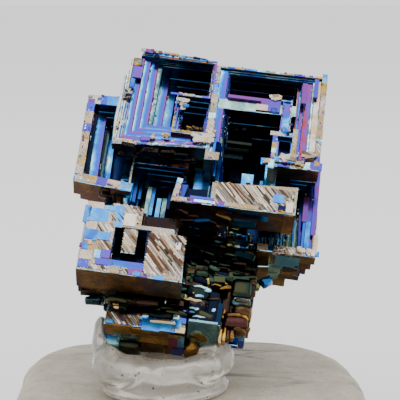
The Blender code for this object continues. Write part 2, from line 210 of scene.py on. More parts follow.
# Near black: the film of the melted ridges set back in the middle, and painted shade on the walls
# of the gaps between the crystals.
BLACK_RIDGES_AND_GAP_SHADE = Coat(
    rim=(0.96, 0.96, 0.86, 0.1, 0.04),
    walls=((0.96, 0.96, 0.9), (0.18, 0.18, 0.75), (0.96, 0.96, 0.9),
           (0.96, 0.96, 0.88)),
    ledge=(0.18, 0.19, 0.8, 0.2, 0.03),
)
TEAL = Coat(
    rim=(0.9, 0.9, 0.1, 0, 0.02),
    walls=((0.64, 0.7, 0.88, 0, 0.1), (0.64, 0.68, 0.9, 0, 0.1),
           (0.64, 0.7, 0.93, 0, 0.1), (0.2, 0.18, 0.8, 0, 0.1)),
    ledge=(0.64, 0.64, 0.6, 0, 0.1),
)

# In the coats below, a tread with a high shade, most often the last of a row, is painted shade deep
# in its funnel; so is the black first tread of LEFT.
UPPER_LEFT = Coat(
    rim=(0.02, 0.03, 0, 0.3, 0.06),
    treads=((0.82, 0.8), (0.03, 0.03, 0.1), (0.56, 0.82, 0.2), (0.03, 0.8),
            (0.84, 0.32, 0, 0, 0.05), (0.84, 0.32, 0, 0, 0.05),
            (0.82, 0.31, 0, 0, 0.05), (0.86, 0.9, 0.35),
            (0.84, 0.34, 0, 0, 0.05),
            (0.8, 0.56, 0.1), (0.84, 0.64, 0.2)),
    low_treads=((0.03, 0.05), (0.38, 0.36), (0.4, 0.38), (0.36, 0.44),
                (0.72, 0.34), (0.7, 0.33), (0.76, 0.36), (0.5, 0.5, 0.7)),
    top_treads=((0.74, 0.7), (0.16, 0.13, 0.1), (0.6, 0.5, 0.85)),
    right_treads=((0.03, 0.3), (0.34, 0.36), (0.36, 0.4, 0.2)),
)
UPPER_RIGHT = Coat(
    rim=(0.03, 0.04, 0.2, 0.4, 0.05),
    treads=((0.8, 0.38), (0.7, 0.4, 0.3), (0.6, 0.5, 0.6), (0.6, 0.5, 0.8)),
    low_treads=((0.66, 0.4), (0.6, 0.5, 0.6)),
    top_treads=((0.05, 0.03, 0.1), (0.33, 0.62, 0.1), (0.55, 0.5, 0.85)),
    right_treads=((0.03, 0.02, 0, 0.2, 0.1), (0.82, 0.85),
                  (0.36, 0.3, 0, 0.1, 0.12),
                  (0.48, 0.34, 0.1, 0, 0.12), (0.82, 0.04, 0.2), (0.55, 0.5, 0.9)),
)
LEFT = Coat(
    treads=((0.5, 0.5, 0.97), (0.71, 0.36), (0.88, 0.6, 0.85),
            (0.74, 0.66, 0.1), (0.6, 0.5, 0.9)),
)
SKY_POST = Coat(
    rim=(0.72, 0.72, 0, 0, 0.1), treads=((0.7, 0.7),),
    walls=((0.66, 0.6, 0.5, 0.1, 0.2), (0.62, 0.66, 0.85, 0.1, 0.15),
           (0.6, 0.66, 0.5, 0.1, 0.2), (0.66, 0.6, 0.6, 0.1, 0.2)),
)
PALE_GREEN = Coat(
    rim=(0.89, 0.87, 0.25, 0, 0.05),
    lips=((0.36, 0.36), (0.36, 0.36), (0.34, 0.34), (0.36, 0.36)),
    walls=((0.4, 0.4, 0.6), (0.5, 0.5, 0.95), (0.36, 0.36, 0.2), (0.4, 0.4, 0.6)),
)
BLUE_COLUMN = Coat(
    rim=(0.78, 0.78, 0, 0, 0.08),
    floor=(0.5, 0.44, 0, 0, 0.25),
)

# The crystals whose slabs make up the body of the cluster.
CRYSTALS = (
    Hopper(
        "upper_left", Facing.FRONT, 0,
        ((-11.8, 6.9), (0.7, 8.0), (-0.4, 22.1), (-9.9, 22.7), (-10.3, 21.4), (-11.1, 21.2),
         (-11.5, 18.2), (-11.9, 17.8), (-12.1, 11.0)),
        ((2.1, 0, 0.35, 0.1, 0.3), (2.7, 0.3, 0.9, 0.3, 0.2), (2.0, 0.3, 0.9, 0.3, 0.2),
         (2.2, 0.4, 1.0, 0.4, 0.2), (2.9,)),
        (0.4, 0.5, 0.5, 0.6),
        ((0.1, 0.28, 0.25, 0.35, 0.2), (0.08, 0.28, 0.25, 0.22, 0.4), (0.08, 0.28, 0.25, 0.05, 0.1),
         (0.08, 0.28, 0.25, 0.05, 0.05), (0.16, 0.78, 0.9, 0.06, 0.05),
         (0.25, 0.85, 0.82, 0.08, 0.05), (0.25, 0.99, 0.83, 0.08, 0.05),
         (0.3, 0.54, 0.15, 0.1, 0.05), (2.05, 0.99, 0.2, 0.2, 0.15), (1.2, 1.0, 0.3, 0.25, 0.15),
         (2.8, 1.35, 0.4, 0.5, 0.2), (2.6,)),
        UPPER_LEFT,
        ((-11.63, 7.62), (0.35, 7.95), (-0.1, 22.2), (-11.63, 22.2)),
    ),
    Hopper(
        "upper_right", Facing.FRONT, -0.12,
        ((-0.3, 6.3), (13.9, 6.6), (13.95, 21.6), (-0.35, 21.5)),
        ((2.4, 0.2, 0.4, 0.1, 0.4), (1.7, 0.2, 0.4, 0.5, 0.5), (2.6, 0.3, 0.5, 0.6, 0.5),
         (2.9, 0.4, 0.6, 0.7, 0.6), (3.3, 0.5, 0.7, 0.9, 0.7), (3.3,)),
        (0.5, 1.2, 0.35, 0.75),
        ((0.3, 1.1, 0.1, 0.2, 0.8), (0.15, 0.1, 0.1, 0.25, 0.3), (0.2, 0.1, 0.1, 0.08, 0.85),
         (0.2, 0.1, 0.1, 0.08, 0.5), (0.65, 0.1, 0.1, 0.1, 0.5), (1.6, 0.12, 0.1, 0.15, 0.35),
         (1.5, 0.15, 0.1, 0.15, 0.4), (2.1, 0.2, 0.2, 0.3, 0.5),
         (2.1, 0.3, 0.2, 0.5, 0.6), (1.9, 0.4, 0.3, 0.8, 0.5), (1.8,)),
        UPPER_RIGHT,
    ),
    Hopper(
        "left", Facing.FRONT, -2.5,
        ((-15.9, 2.3), (-8.85, 1.7), (-8.85, 16.3), (-16.3, 16.1)),
        ((2.8, 0.6, 0.9, 0.6, 0), (2.3, 0.8, 0.9, 0.9, 0), (2.6, 1.0, 0.9, 1.0, 0),
         (2.4,)),
        (1.1, 1.3, 1.5, 0.3),
        ((1.1, 0.5, 0.4, 0.3, 0), (0.6, 1.1, 0.5, 0.3, 0.1), (1.3, 0.6, 0.5, 0.4, 0.1),
         (1.1, 0.7, 0.5, 0.4, 0.1), (1.5,)),
        LEFT,
    ),
    Hopper(
        "lower_left", Facing.FRONT, 1.5,
        ((-12.85, -12.65), (-0.6, -12.75), (-0.95, -6.7), (-2.3, -6.2), (-2.45, -3.1),
         (-12.95, -3.5)),
        ((3.9, 0.3, 0.6, 0.2, 0.3), (2.3, 0.8, 0.8, 0.6, 0.7), (2.4, 0.8, 0.7, 0.7, 0.8),
         (2.7,)),
        (1.6, 0.9, 1.3, 3.6),
        ((0.22, 0.02, 1.05, 0.02, 0.5), (0.9, 0.1, 0.1, 0.1, 0.1), (2.3,)),
        BROWN_BLOCK,
        ((-9.2, -11.72), (-4.75, -11.72), (-5.0, -6.3), (-9.2, -6.3)),
    ),
    Hopper(
        "middle", Facing.FRONT, 2.0,
        ((-3.35, -1.95), (11.45, -1.9), (11.5, 2.2), (1.6, 1.5), (-3.0, 1.1)),
        ((3.9, 0.2, 0.5, 0.1, 0.3), (2.6, 0.7, 0.5, 0.2, 0.8), (3.4,)),
        (0.8, 0.7, -0.6, 10.2),
        ((0.9, 0.7, 0.5, 0, 0.4), (0.8,)),
        BROWN_BLOCK,
    ),
    Hopper(
        "lower_right", Facing.FRONT, -4.0,
        ((2.5, -3.35), (14.65, -3.5), (14.2, 8.4), (2.5, 8.2)),
        ((1.7, 0.3, 0.25, 0.3, 0.35), (1.6, 0.3, 0.25, 0.3, 0.5), (1.6, 0.4, 0.3, 0.4, 0.65),
         (2.1, 0.5, 0.35, 0.5, 1.6), (2.3,)),
        (0.9, 1.0, 0.8, 0.55),
        ((0.4, 0.2, 0.3, 0.3, 0.9), (0.6, 0.2, 0.3, 0.3, 0.8), (0.8, 0.2, 0.3, 0.3, 0.7),
         (0.8, 0.3, 0.3, 0.3, 0.7), (0.9, 0.3, 0.3, 0.3, 0.65), (0.9, 0.3, 0.3, 0.3, 0.65),
         (0.9, 0.3, 0.3, 0.3, 0.65), (1.1,)),
        BLUE_GREEN,
    ),
    Hopper(
        "core_strips", Facing.FRONT, -4.6,
        box_outline(-10.4, -2.2, -3.2, 8.1),
        ((2.6, 0.3, 0.3, 0.3, 0.3), (6.1,)),
        (0.55, 0.4, 0.4, 0.5),
        ((0.7, 1.05, 0.3, 0.2, 0.25), (0.8, 1.1, 0.3, 0.2, 0.25), (0.9, 1.1, 0.3, 0.2, 0.25),
         (0.9, 1.1, 0.3, 0.3, 0.25), (1.5,)),
        BLUE_GREEN,
    ),
    Hopper(
        "bottom", Facing.FRONT, -4.2,
        ((-9.1, -16.1), (0.4, -15.7), (0.3, -9.6), (-9.0, -10.2)),
        ((2.3, 0.15, 0.2, 0.3, 0.15), (2.1, 0.5, 0.4, 0.5, 0.4), (3.4,)),
        coat=Coat(rim=(0.7, 0.7, 0, 0.3, 0.5)),
    ),
    Hopper(
        "left_foot", Facing.DOWN, 15.85,
        ((-9.35, -11.8), (-4.9, -11.9), (-4.9, -7.2), (-9.35, -7.2)),
        ((2.9, 0.3, 0.3, 0.3, 0.3), (3.5,)),
        (0.8, 0.8, 0.9, 0.8),
        ((0.5, 0.6, 0.6, 0.6, 0.6), (0.7,)),
        TEAL,
    ),
    Hopper(
        "right_foot", Facing.DOWN, 15.6,
        ((-1.9, -11.6), (0.25, -11.6), (0.55, -8.1), (-2.1, -8.1)),
        ((6.4,),),
        coat=GOLD_MELT,
    ),
    Hopper(
        "teal_block", Facing.DOWN, 15.1,
        ((0.75, -8.8), (4.35, -8.8), (4.35, -3.1), (0.75, -3.1)),
        ((3.1, 0.25, 0.4, 0.9, 0.3), (4.8,)),
        coat=TEAL,
    ),
    Hopper(
        "gold_column", Facing.DOWN, 14.4,
        box_outline(4.15, 7.4, -9.15, -4.8),
        ((1.7, -0.15, -0.2, -0.4, -0.35), (2.3, -0.1, -0.1, -0.1, -0.1), (7.0,)),
        (0.7, 0.7, 0.8, 0.8),
        ((0.6, 0.5, 0.6, 0.5, 0.5), (0.7,)),
        GOLD_MELT,
    ),
    Hopper(
        "heart", Facing.FRONT, -5.9,
        ((-9.6, -9.3), (6.9, -9.25), (6.95, -4.7), (9.2, -4.4), (9.25, 15.4), (-9.6, 15.4)),
        ((2.6, 0.5, 0.5, 0.5, 0.9), (3.7, 0.7, 0.6, 0.7, 1.2), (4.4,)),
        coat=Coat(rim=(0.96, 0.96, 0.86, 0.2, 0.1)),
    ),
    Hopper(
        "back", Facing.BACK, 19.2,
        box_outline(-8.2, 8.1, -0.9, 13.6),
        even_slabs(2, 1.4, 0.55) + ((2.2,),),
        (0.7, 0.8, 0.6, 0.7),
        ((0.45, 0.8, 0.75, 0.8, 0.85), (0.5, 0.9, 0.8, 0.7, 0.8), (0.6, 1.0, 0.9, 0.8, 0.9),
         (0.6, 1.2, 1.1, 1.0, 1.1), (0.6,)),
    ),
    Hopper(
        "back_left", Facing.BACK, 14.4,
        box_outline(4.6, 12.1, 3.2, 14.1),
        even_slabs(3, 1.3, 0.5) + ((2.4,),),
        (0.5, 0.6, 0.6, 0.7),
        ((0.4, 0.6, 0.7, 0.7, 0.6), (0.5, 0.6, 0.8, 0.8, 0.7), (0.8,)),
    ),
    Hopper(
        "back_low", Facing.BACK, 16.5,
        box_outline(-5.4, 5.2, -9.9, -1.6),
        even_slabs(2, 1.5, 0.5) + ((2.8,),),
        (0.6, 0.7, 0.6, 0.6),
        ((0.4, 0.7, 0.7, 0.7, 0.7), (0.5, 0.8, 0.7, 0.7, 0.8), (0.7,)),
    ),
    Hopper(
        "right_side", Facing.RIGHT, 12.9,
        box_outline(9.1, 17.4, 3.6, 14.3),
        even_slabs(2, 1.3, 0.5) + ((2.2,),),
        (0.6, 0.6, 0.6, 0.6),
        ((0.4, 0.6, 0.7, 0.7, 0.7), (0.5, 0.7, 0.8, 0.8, 0.8), (0.6,)),
    ),
    Hopper(
        "left_side", Facing.LEFT, 11.7,
        box_outline(-13.9, -6.1, -5.3, 4.4),
        even_slabs(2, 1.2, 0.5) + ((1.6,),),
        (0.6, 0.6, 0.6, 0.6),
        ((0.4, 0.6, 0.7, 0.7, 0.7), (0.5, 0.7, 0.8, 0.8, 0.8), (0.6,)),
    ),
    Hopper(
        "top", Facing.UP, 19.3,
        box_outline(-7.2, 4.6, 9.6, 18.1),
        even_slabs(2, 1.2, 0.5) + ((2.4,),),
        (0.7, 3.6, 0.7, 0.6),
        ((0.4, 0.8, 0.3, 0.4, 0.7), (0.4, 0.9, 0.4, 0.5, 0.8), (0.5,)),
    ),
)

# Gaps that run between the crystals rather than down one funnel. Their walls are coated dark:
# painted shade between the crystals.
GAPS = (
    Hopper("under_upper_right", Facing.FRONT, 1.0, box_outline(0.9, 7.6, 1.7, 9.4),
           ((5.0, 0.3, 0, 0, 0.2), (2.1, 0.5, 0.3, 0, 0.5), (2.6,)),
           coat=BLUE_GREEN),
    Hopper("under_middle", Facing.FRONT, -3.6, box_outline(-0.3, 7.9, -8.4, -2.1),
           ((4.0, 0.4, 0.4, 0.2, 0.4), (1.5, 0.8, 0.8, 0.4, 0.8), (1.4,)),
           coat=BLACK_RIDGES_AND_GAP_SHADE),
    Hopper("above_bottom", Facing.FRONT, -3.1, box_outline(-8.3, 1.3, -14.5, -10.9),
           ((3.1, 0.3, 0.3, 0, 0), (1.6,)), coat=BLACK_RIDGES_AND_GAP_SHADE),
    Hopper("lower_left_corner", Facing.FRONT, 2.5, box_outline(-6.3, -1.5, -5.7, -2.0),
           ((2.0, 0.3, 0.3, 0.3, 0.3), (0.6,)), coat=BLACK_RIDGES_AND_GAP_SHADE),
)

# Small crystals grown inside the funnels.
INNER_CRYSTALS = (
    Hopper(
        "upper_left_ring", Facing.FRONT, 0.1,
        box_outline(-4.85, 0.35, 9.7, 15.95),
        ((1.6, 0.3, 0.3, 0.3, 0), (8.9,)),
        (0.22, 0.45, 0.35, 0.85),
        ((0.6, 0.3, 0.25, 0.3, 0.2), (0.7, 0.3, 0.25, 0.3, 0.2), (0.9, 0.3, 0.25, 0.3, 0.2),
         (1.5,)),
    ),
    Hopper(
        "upper_right_ring", Facing.FRONT, 0.2,
        box_outline(7.8, 10.85, 7.05, 11.65),
        ((2.6, 0.2, 0.2, 0.3, 0.2), (5.4,)),
        (0.6, 0.7, 0.7, 0.6),
        ((0.5, 0.3, 0.3, 0.3, 0.2), (1.1,)),
    ),
    Hopper("shelf_bar", Facing.FRONT, -0.35,
           ((0.4, 14.72), (10.4, 14.85), (10.4, 16.5), (0.4, 16.3)),
           ((0.9, 0, 0.3, 0.1, 0), (1.0,)), coat=PALE_GREEN),
    Hopper("right_column", Facing.FRONT, -0.2,
           ((8.5, 11.5), (9.82, 11.5), (9.78, 17.1), (8.55, 17.1)),
           ((3.0, 0.2, 0.2, 0.2, -0.3), (3.0,)),
           (0.2, 0.2, 0.22, 0.2), ((0.15,),), BLUE_COLUMN),
    Hopper("void_post_left", Facing.FRONT, -3.9, box_outline(-1.3, 0.75, 2.6, 7.6),
           ((3.8,),), coat=SKY_POST),
    Hopper("void_post_middle", Facing.FRONT, -3.3, box_outline(4.5, 6.1, 3.3, 7.2),
           ((6.0,),), coat=SKY_POST),
    Hopper("void_post_right", Facing.FRONT, -2.2, box_outline(7.3, 8.8, 1.9, 8.6),
           ((4.5,),), coat=SKY_POST),
    Hopper("moat_island", Facing.FRONT, 1.38, box_outline(-8.15, -6.5, -9.65, -6.0),
           ((3.4,),), coat=BROWN_BLOCK),
    Hopper("melted_ridge_low", Facing.FRONT, -3.4, box_outline(-0.9, 4.1, -9.8, -7.9),
           ((3.9,),), coat=BLACK_RIDGES_AND_GAP_SHADE),
    Hopper("melted_ridge_high", Facing.FRONT, -4.9, box_outline(-0.8, 3.2, -7.5, -6.0),
           ((3.1,),), coat=BLACK_RIDGES_AND_GAP_SHADE),
)


def deselect() -> None:
    """Leaves edit mode's selection and the scene's objects unselected."""
    bpy.ops.object.select_all(action="DESELECT")


def activate(*objs: bpy.types.Object) -> None:
    """Selects some objects alone and makes the first one active.

    Args:
        objs: the objects.
    """
    deselect()
    for obj in objs:
        obj.select_set(True)
    bpy.context.view_layer.objects.active = objs[0]


def settle(obj: bpy.types.Object, step: float = GRID * MM) -> None:
    """Puts every vertex on a fine grid, so that faces meant to be level are exactly level."""
    for vert in obj.data.vertices:
        vert.co = [round(c / step) * step for c in vert.co]


def nudge(edit: bmesh.types.BMesh, obj: bpy.types.Object, verts: list, shift: tuple) -> None:
    """Moves some vertices of the mesh in edit mode, by millimetres.

    Args:
        edit: the mesh in edit mode.
        obj: the object it belongs to.
        verts: the vertices to move.
        shift: how far they go, in millimetres.
    """
    if not any(shift):
        return
    for vert in edit.verts:
        vert.select_set(False)
    for vert in verts:
        vert.select_set(True)
    bmesh.update_edit_mesh(obj.data)
    bpy.ops.transform.translate(value=Vector(shift) * MM)


@dataclass(frozen=True)
class Ring:
    """One ring of a stack: how far it lies below the last one, and its insets from it."""

    kind: Kind
    step: int = 0
    drop: float = 0.0
    left: float = 0.0
    bottom: float = 0.0
    top: float = 0.0
    right: float = 0.0

    def sides(self) -> tuple:
        """The insets as left, bottom, top, right."""
        return self.left, self.bottom, self.top, self.right


def draw_stack(name: str, outline: tuple, level: float, rings: list) -> bpy.types.Object:
    """Draws a stack: the mouth's outline, then one extrusion for each ring.

    Args:
        name: the new object's name.
        outline: the mouth's corners, in millimetres.
        level: the mouth's height above the drawing plane.
        rings: the rings below the mouth.

    Returns:
        The closed stack, in the drawing frame, each vertex numbered with its ring.
    """
    deselect()
    bpy.ops.mesh.primitive_circle_add(vertices=len(outline), radius=MM, fill_type="NGON",
                                      location=(0.0, 0.0, level * MM))
    obj = bpy.context.object
    obj.name = name
    bpy.ops.object.transform_apply(location=True)
    bpy.ops.object.mode_set(mode="EDIT")
    bpy.ops.mesh.select_mode(type="VERT")
    edit = bmesh.from_edit_mesh(obj.data)
    edit.verts.layers.int.new("ring")
    turn = sorted(edit.verts, key=lambda v: math.atan2(v.co.y, v.co.x) % math.tau)
    for vert, (u, v) in zip(turn, outline):
        nudge(edit, obj, [vert], (u - vert.co.x / MM, v - vert.co.y / MM, 0.0))
    bpy.ops.mesh.select_all(action="SELECT")
    for count, ring in enumerate(rings, 1):
        bpy.ops.mesh.extrude_region_move(
            TRANSFORM_OT_translate={"value": (0.0, 0.0, -ring.drop * MM)})
        edit = bmesh.from_edit_mesh(obj.data)
        number = edit.verts.layers.int["ring"]
        moved = [v for v in edit.verts if v.select]
        for vert in moved:
            vert[number] = count
        mid_x = 0.5 * (min(v.co.x for v in moved) + max(v.co.x for v in moved))
        mid_y = 0.5 * (min(v.co.y for v in moved) + max(v.co.y for v in moved))
        sides = (([v for v in moved if v.co.x < mid_x], (ring.left, 0, 0)),
                 ([v for v in moved if v.co.x >= mid_x], (-ring.right, 0, 0)),
                 ([v for v in moved if v.co.y < mid_y], (0, ring.bottom, 0)),
                 ([v for v in moved if v.co.y >= mid_y], (0, -ring.top, 0)))
        for verts, shift in sides:
            nudge(edit, obj, verts, shift)
        bpy.ops.mesh.select_all(action="DESELECT")
        for vert in moved:
            vert.select_set(True)
        edit.select_flush(True)
        bmesh.update_edit_mesh(obj.data)
    bpy.ops.mesh.select_all(action="SELECT")
    bpy.ops.mesh.normals_make_consistent(inside=False)
    bpy.ops.object.mode_set(mode="OBJECT")
    return obj


def side_of(across: Vector) -> Side:
    """The side of a crystal that an in-plane direction points to.

    Args:
        across: a direction in the drawing plane.

    Returns:
        The side.
    """
    if abs(across.x) > abs(across.y):
        return Side.LEFT if across.x < 0 else Side.RIGHT
    return Side.BOTTOM if across.y < 0 else Side.TOP


def mark_stack(obj: bpy.types.Object, crystal: int, rings: list, first: Kind, last: Kind) -> None:
    """Writes on each face what it is, and on each corner how far across its strip it lies.

    Args:
        obj: a stack in the drawing frame.
        crystal: the crystal's number.
        rings: the rings it was drawn with.
        first: what its mouth face is.
        last: what its end face is.
    """
    mesh = obj.data
    ring_of = [d.value for d in mesh.attributes["ring"].data]
    mesh.attributes.remove(mesh.attributes["ring"])
    marks = mesh.attributes.new("mark", "INT", "FACE")
    strip = mesh.attributes.new("strip", "FLOAT_COLOR", "CORNER")
    mid = sum((v.co for v in mesh.vertices), Vector()) / len(mesh.vertices)
    mouth = max(v.co.z for v in mesh.vertices)
    for poly in mesh.polygons:
        numbers = [ring_of[v] for v in poly.vertices]
        low, high = min(numbers), max(numbers)
        kind, step, side = (first if low == 0 else last), 0, Side.TOP
        if low != high:
            outer = [mesh.vertices[v].co for v, n in zip(poly.vertices, numbers) if n == low]
            along = (outer[-1] - outer[0]) if len(outer) > 1 else Vector((1, 0, 0))
            across = Vector((along.y, -along.x, 0.0))
            if across.dot(poly.center - mid) < 0:
                across.negate()
            kind, step, side = rings[high - 1].kind, rings[high - 1].step, side_of(across)
        marks.data[poly.index].value = ((crystal * KINDS + kind) * STEPS + step) * SIDES + side
        chance = random.Random(f"{obj.name}{kind}{step}{side}").random()
        for loop, n in zip(poly.loop_indices, numbers):
            depth = (mouth - mesh.vertices[mesh.loops[loop].vertex_index].co.z) / MM
            strip.data[loop].color = (0.0 if n == low else 1.0, depth / DEPTH_SPAN, chance, 1.0)


def read_mark(mark: int) -> tuple:
    """A face's crystal number, kind, step and side.

    Args:
        mark: the face's mark.

    Returns:
        The four.
    """
    mark, side = divmod(mark, SIDES)
    mark, step = divmod(mark, STEPS)
    crystal, kind = divmod(mark, KINDS)
    return crystal, Kind(kind), step, Side(side)


def turned(facing: Facing) -> Matrix:
    """The turn from the drawing frame to a facing of the lattice."""
    return Matrix(facing.value).to_4x4()


def place(obj: bpy.types.Object, matrix: Matrix) -> None:
    """Moves an object and applies the move to its mesh.

    Args:
        obj: the object, at the origin.
        matrix: its new place.
    """
    activate(obj)
    obj.matrix_world = matrix
    bpy.ops.object.transform_apply(location=True, rotation=True, scale=True)


def inset(outline: tuple, left: float, bottom: float, top: float, right: float) -> tuple:
    """Moves each corner of an outline inwards by the inset of the sides that it belongs to.

    Args:
        outline: the corners, in millimetres.
        left: the left side's inset.
        bottom: the bottom's.
        top: the top's.
        right: the right side's.

    Returns:
        The smaller outline.
    """
    mid_x = 0.5 * (min(x for x, _ in outline) + max(x for x, _ in outline))
    mid_z = 0.5 * (min(z for _, z in outline) + max(z for _, z in outline))
    return tuple(
        (x + (left if x < mid_x else -right), z + (bottom if z < mid_z else -top))
        for x, z in outline
    )


def four_corners(outline: tuple) -> tuple:
    """The outline's own bottom left, bottom right, top right and top left corners."""
    corners = ((-1, -1), (1, -1), (1, 1), (-1, 1))
    return tuple(max(outline, key=lambda p: p[0] * sx + p[1] * sz) for sx, sz in corners)


def lip_widths(insets: list) -> list:
    """The lip that fits on each side of a step, given the step's insets."""
    return [min(LIP, 0.4 * max(i, 0.0)) for i in insets]


def slab_stack(hopper: Hopper, crystal: int) -> bpy.types.Object:
    """The outer body of one crystal, with a small bevel along each slab's edges.

    Args:
        hopper: the crystal.
        crystal: its number.

    Returns:
        Its body, in the lattice frame.
    """
    rings = [Ring(Kind.EDGE, 0, LIP, -LIP, -LIP, -LIP, -LIP)]
    for step, (thickness, *insets) in enumerate(hopper.slabs):
        if step == len(hopper.slabs) - 1:
            rings.append(Ring(Kind.WALL, step, thickness - LIP))
            break
        lips = lip_widths(insets)
        rings.append(Ring(Kind.WALL, step, thickness - 2 * LIP))
        rings.append(Ring(Kind.LIP, step, LIP, *lips))
        rings.append(Ring(Kind.LEDGE, step, 0.0, *(i - e for i, e in zip(insets, lips))))
        rings.append(Ring(Kind.WALL, step, LIP))
    outline = inset(hopper.outline, LIP, LIP, LIP, LIP)
    obj = draw_stack(f"{hopper.name}_slabs", outline, hopper.front, rings)
    mark_stack(obj, crystal, rings, Kind.RIM, Kind.LEDGE)
    place(obj, turned(hopper.facing))
    settle(obj)
    return obj


def funnel_stack(hopper: Hopper, crystal: int) -> bpy.types.Object:
    """The cutter that sinks a stepped funnel into a crystal's mouth.

    Args:
        hopper: the crystal.
        crystal: its number.

    Returns:
        The cutter, in the lattice frame, with a lip on the edge of each step.
    """
    outline = inset(hopper.mouth_outline(), -LIP, -LIP, -LIP, -LIP)
    rings = [Ring(Kind.RISER, 0, OVERCUT), Ring(Kind.LIP, 0, LIP, LIP, LIP, LIP, LIP)]
    for step, (drop, *insets) in enumerate(hopper.treads):
        rings.append(Ring(Kind.RISER, step, drop - LIP))
        if step < len(hopper.treads) - 1:
            lips = lip_widths(insets)
            rings.append(Ring(Kind.TREAD, step, 0.0, *(i - e for i, e in zip(insets, lips))))
            rings.append(Ring(Kind.LIP, step + 1, LIP, *lips))
    obj = draw_stack(f"{hopper.name}_funnel", outline, hopper.front + OVERCUT, rings)
    mark_stack(obj, crystal, rings, Kind.RIM, Kind.FLOOR)
    place(obj, turned(hopper.facing))
    settle(obj)
    return obj


def cut_or_grow(obj: bpy.types.Object, operation: str, shapes: list) -> None:
    """Joins shapes to an object, or cuts them from it, and removes them afterwards.

    Args:
        obj: the object that changes.
        operation: UNION or DIFFERENCE.
        shapes: the objects to join or cut.
    """
    group = bpy.data.collections.new(operation.lower())
    bpy.context.scene.collection.children.link(group)
    for shape in shapes:
        for home in list(shape.users_collection):
            home.objects.unlink(shape)
        group.objects.link(shape)
    boolean = obj.modifiers.new(operation.title(), "BOOLEAN")
    boolean.operand_type = "COLLECTION"
    boolean.collection = group
    boolean.operation = operation
    boolean.solver = "EXACT"
    activate(obj)
    bpy.ops.object.modifier_apply(modifier=boolean.name)
    for shape in shapes:
        bpy.data.objects.remove(shape, do_unlink=True)
    bpy.data.collections.remove(group)


@dataclass
class Pose:
    """How the lattice stands above the stone."""

    lean_back: float = 43.0
    yaw: float = 3.0
    roll: float = 6.8
    height: float = 31.8
    shift: tuple = (1.6, -2.0)

    def matrix(self) -> Matrix:
        """Placement of the lattice frame in the stand's frame.

        Returns:
            The turn and shift, in metres.
        """
        lean = Matrix.Rotation(math.radians(-self.lean_back), 4, "X")
        yaw = Matrix.Rotation(math.radians(-self.yaw), 4, "Z")
        roll = Matrix.Rotation(math.radians(self.roll), 4, "Y")
        return Matrix.Translation(Vector((*self.shift, self.height)) * MM) @ roll @ yaw @ lean


def tone_for(coat: Coat, kind: Kind, step: int, side: Side) -> Tone:
    """Looks up the tone of a face.

    Args:
        coat: the crystal's coat.
        kind: what the face is.
        step: its step, counted from the mouth.
        side: its side.

    Returns:
        The tone.
    """
    if kind is Kind.TREAD:
        treads = (coat.treads, coat.low_treads, coat.top_treads, coat.right_treads)[side]
        return Tone(*treads[min(step, len(treads) - 1)])
    by_side = {Kind.RISER: coat.risers, Kind.LIP: coat.lips, Kind.WALL: coat.walls}
    if kind in by_side:
        return Tone(*by_side[kind][side])
    whole = {Kind.RIM: coat.rim, Kind.LEDGE: coat.ledge, Kind.EDGE: coat.edge}
    return Tone(*whole.get(kind, coat.floor))


